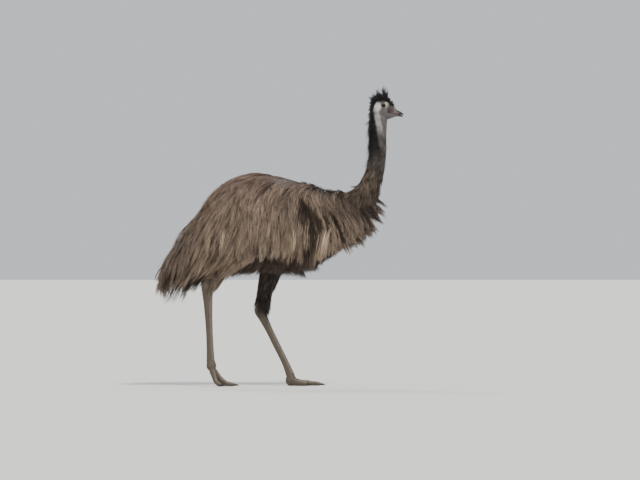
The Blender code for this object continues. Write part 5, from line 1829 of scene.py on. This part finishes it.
print("ankle tufts:", 2 * ANKLE_LOCKS)

# %% [markdown]
# ### Neck
#
# Shaggy brown locks clothe the lower neck and grow shorter on the way up. Above them black hair
# covers the nape, thick enough to carry the line of the back of the neck up to the crest, and the
# throat and the sides have only very short down, through which the bare streak shows.

# %% Neck plumes
SHAG_PLAN = {"strands": 14, "spread": 0.017, "clump": 0.88, "wave": 0.003}
NAPE_PLAN = {"strands": 12, "spread": 0.009, "clump": 0.72, "wave": 0.0022, "loose": 0.10}
DOWN_PLAN = {"strands": 6, "spread": 0.008, "clump": 0.5, "wave": 0.0006}

u, v = scattered(neck, 0.13, 0.80, 0.021, 0.0165)
thinned = dice.uniform(0, 1, len(u)) < np.interp(u, (0.6, 0.8), (1.0, 0.45))
u, v = u[thinned], v[thinned]
length = np.interp(u, (0.1, 0.3, 0.5, 0.65, 0.8), (0.165, 0.135, 0.095, 0.058, 0.034))
length = length * dice.uniform(0.75, 1.25, len(u))
lift = dice.normal(1.0, 0.3, len(u)) * np.interp(u, (0.5, 0.8), (1.0, 0.7))
roots = rooted(u, v, length, lift, 0.45, -0.5)
field = lock_field(neck, neck_lie, roots, SHAG_PLAN)
strand_mesh("plumes_neck", field, 0.0016, neck_material, "body_plumes")
print("shaggy neck:", len(u), "locks")

u, v = scattered(neck, 0.56, 0.985, 0.012, 0.0085)
behind = np.abs(v) > math.radians(108)
u, v = u[behind], v[behind]
length = dice.uniform(0.030, 0.056, len(u))
rise = np.clip((np.abs(v) - 1.9) / 0.9, 0, 1)
lift = dice.normal(1.1, 0.3, len(u)) + rise * np.minimum(dice.exponential(0.5, len(u)), 1.8)
lift = lift * np.interp(u, (0.80, 0.95), (1.0, 1.5))
roots = rooted(u, v, length, lift, 0.4, -0.5)
field = lock_field(neck, neck_lie, roots, NAPE_PLAN)
strand_mesh("hair_nape", field, 0.0008, neck_material, "black_plumes")
print("nape:", len(u), "locks")

BRISTLES = 170
BRISTLE_PLAN = {"strands": 4, "spread": 0.008, "clump": 0.15, "wave": 0.0012, "fan": 0.16}
BRISTLE_PLAN["axis"] = 0.9
share = dice.uniform(0.50, 0.99, BRISTLES)
turn = math.pi + dice.normal(0, 0.45, BRISTLES)
roots = neck(share, turn, np.full(BRISTLES, 0.5))
outs = unit(neck(share, turn, share * 0 + 2.0) - roots)
aims = (outs + DOWN * dice.uniform(-0.2, 0.8, (BRISTLES, 1))) * dice.uniform(0.014, 0.036, (BRISTLES, 1))
field = sprayed(roots, aims, DOWN * 0.004 + 0 * roots, outs, BRISTLE_PLAN)
strand_mesh("bristles_nape", field, 0.0007, crest_material, "black_plumes", SHORT_TAPER)
print("bristles:", BRISTLES * BRISTLE_PLAN["strands"])

u, v = scattered(neck, 0.56, 0.95, 0.011, 0.0080)
ahead = np.abs(v) < math.radians(120)
u, v = u[ahead], v[ahead]
length = np.interp(u, (0.56, 0.75, 0.95), (0.036, 0.022, 0.013)) * dice.uniform(0.8, 1.2, len(u))
roots = rooted(u, v, length, dice.normal(0.9, 0.3, len(u)), 0.4, -0.2)
field = lock_field(neck, neck_lie, roots, DOWN_PLAN)
strand_mesh("down_throat", field, 0.00055, neck_material, "face_skin", SHORT_TAPER)
print("throat down:", len(u), "tufts")

# %% [markdown]
# At the foot of the neck some small dark plumes stand up and catch the wind.

# %% Ruffled plumes between the shoulders
RUFFLES = 26
root_x = dice.uniform(0.13, 0.43, RUFFLES)
roots = trunk(root_x, dice.normal(0, 0.22, RUFFLES), np.full(RUFFLES, 0.5))
aims = np.stack([-dice.uniform(0.015, 0.050, RUFFLES), dice.normal(0, 0.015, RUFFLES),
                 dice.uniform(0.014, 0.040, RUFFLES)], -1)
outs = np.repeat(SIDE[None], RUFFLES, axis=0)
ruffle_plan = {"strands": 12, "spread": 0.009, "clump": 0.80, "wave": 0.003, "axis": 0.9}
ruffle_plan["tone"] = 0.0
field = sprayed(roots, aims, DOWN * 0.012 + 0 * roots, outs, ruffle_plan)
strand_mesh("plumes_ruffled", field, 0.0014, plume_material, "body_plumes", SHORT_TAPER)
print("ruffled plumes:", RUFFLES)

# %% [markdown]
# ### Head
#
# Short hair lies close on the head, back and down from the bill. It is black and longer on the
# crown and behind, and a thin pale down on the cheek. None grows on the lids or round the ear, and
# hardly any on the white patch.

# %% Hair and down of the head
HEAD_PLAN = {"strands": 6, "spread": 0.0055, "clump": 0.5, "wave": 0.0007}
BARE = [(EYE, 0.0170), (EAR, 0.0080)]
PATCH_PLACE, PATCH_SIZE, PATCH_DOWN = np.array((0.537, 0.030, 1.506)), 0.022, 0.25


def head_lie(x, turn, lean):
    return np.stack([-0.8 + 0 * x, 0.5 * np.sin(lean), -0.15 - 0.6 * np.abs(np.sin(turn))], -1)


u, v = scattered(head, 0.508, 0.606, 0.0042, 0.0042)
spots = head(u, v, np.zeros(len(u)))
folded_spots = np.abs(spots * (0, 1, 0)) + spots * (1, 0, 1)
keep = np.ones(len(u), bool)
for place, radius in BARE:
    keep &= np.linalg.norm(folded_spots - place, axis=-1) > radius
keep &= ~((spots[:, 0] > MOUTH_BACK - 0.004) & (np.abs(spots[:, 2] - MOUTH_HEIGHT) < 0.004))
on_patch = np.linalg.norm(folded_spots - PATCH_PLACE, axis=-1) < PATCH_SIZE
keep &= ~on_patch | (dice.uniform(0, 1, len(u)) < PATCH_DOWN)
u, v, spots = u[keep], v[keep], spots[keep]
dark = (spots[:, 0] < 0.524) | (spots[:, 2] > 1.536)
length = np.where(dark, dice.uniform(0.012, 0.024, len(u)), dice.uniform(0.0035, 0.0070, len(u)))
lift = np.where(dark, dice.uniform(0.4, 1.1, len(u)), dice.uniform(0.06, 0.16, len(u)))
roots = rooted(u, v, length, lift, 0.35, -0.1)
field = lock_field(head, head_lie, roots, HEAD_PLAN)
strand_mesh("down_head", field, 0.00042, neck_material, "black_plumes", SHORT_TAPER)
print("head:", len(u), "tufts")

# %% [markdown]
# ### Crest
#
# The crown carries a mop of stiff black hair. It leans forward over the bill, stands up above the
# eyes, and lies back and down behind, where single bristles stick out from the nape.

# %% Crest
# x, height, half spread, how many, length, lean back in degrees
CREST_ROWS = [
    (0.618, 1.508, 0.014, 8, 0.013, -98),
    (0.613, 1.520, 0.013, 9, 0.015, -78),
    (0.605, 1.529, 0.016, 10, 0.019, -56),
    (0.594, 1.541, 0.019, 11, 0.023, -32),
    (0.582, 1.548, 0.022, 12, 0.027, -14),
    (0.569, 1.552, 0.024, 13, 0.031, 1),
    (0.556, 1.553, 0.025, 13, 0.036, 13),
    (0.543, 1.552, 0.025, 13, 0.036, 28),
    (0.530, 1.548, 0.025, 13, 0.031, 46),
    (0.519, 1.541, 0.023, 12, 0.026, 64),
    (0.510, 1.530, 0.021, 12, 0.019, 86),
    (0.505, 1.514, 0.019, 11, 0.017, 106),
    (0.504, 1.497, 0.018, 10, 0.020, 124),
    (0.505, 1.480, 0.017, 10, 0.025, 138),
    (0.507, 1.463, 0.016, 9, 0.026, 148),
    (0.509, 1.447, 0.015, 9, 0.026, 154),
]
# x, aside, length, lean back in degrees, of the locks that stand out of the crest as spikes
SPIKES = [
    (0.577, -0.006, 0.074, -3),
    (0.574, 0.004, 0.076, 2),
    (0.570, 0.009, 0.066, 7),
    (0.584, -0.002, 0.050, -14),
    (0.548, -0.005, 0.062, 9),
    (0.545, 0.006, 0.060, 14),
    (0.530, -0.007, 0.047, 26),
    (0.521, 0.003, 0.043, 54),
]
SPIKE_HEIGHT = 1.546
HEAD_CURVE = 14.0  # how fast the crown falls away to each side
CREST_PLAN = {"strands": 24, "spread": 0.0070, "clump": 0.42, "wave": 0.0016, "fan": 0.15}
SPIKE_PLAN = {"strands": 30, "spread": 0.0100, "clump": 0.70, "wave": 0.0016, "axis": 1.50}
SPIKE_PLAN["fan"] = 0.09
CREST_PLAN["axis"] = 1.50

roots, aims, outs, bends = [], [], [], []
for x, height, spread, count, size, degrees in CREST_ROWS:
    for share in (np.arange(count) + 0.5) / count * 2 - 1:
        tilt = math.radians(degrees + dice.normal(0, 9))
        aim = unit(np.array((-math.sin(tilt), share * 0.5 + dice.normal(0, 0.07), math.cos(tilt))))
        drop = HEAD_CURVE * (share * spread) ** 2
        size_here = size * dice.uniform(0.75, 1.20) * (1 - 0.25 * share**2)
        root = np.array((x + dice.normal(0, 0.002), share * spread, height - drop))
        roots.append(root - aim * 0.004)
        aims.append(aim * size_here)
        bends.append(np.array((-dice.uniform(0.05, 0.22), 0, -0.06)) * size_here)
        outs.append(SIDE * (1 if share >= 0 else -1))
roots, aims, bends, outs = (np.array(rows) for rows in (roots, aims, bends, outs))
field = sprayed(roots, aims, bends, outs, CREST_PLAN)
strand_mesh("crest", field, 0.00060, crest_material, "black_plumes")
print("crest:", len(roots), "locks")

roots = np.array([(x, aside, SPIKE_HEIGHT - HEAD_CURVE * aside**2) for x, aside, size, lean in SPIKES])
roots[:, 2] -= 9.0 * np.maximum(0.552 - roots[:, 0], 0) ** 2  # the head falls away behind
aims = np.array([
    (-math.sin(math.radians(lean)) * size, aside * 1.2, math.cos(math.radians(lean)) * size)
    for x, aside, size, lean in SPIKES
])
outs = np.repeat(SIDE[None], len(SPIKES), axis=0)
field = sprayed(roots, aims, -0.1 * aims[:, 2:] * FRONT, outs, SPIKE_PLAN)
strand_mesh("crest_spikes", field, 0.00060, crest_material, "black_plumes")
print("spikes:", len(SPIKES))

print("coat in all:", sum(coat_sizes.values()), "triangles in", len(coat_sizes), "pieces")

# %% [markdown]
# ## The last look at sizes
#
# The finished bird should fill the same box as the plain model, give or take a few hairs.

# %% Sizes and finish
sizes = {"plain": plain_box, "finished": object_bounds()}
sizes = {name: [list(corner) for corner in corners] for name, corners in sizes.items()}
print(json.dumps(sizes))
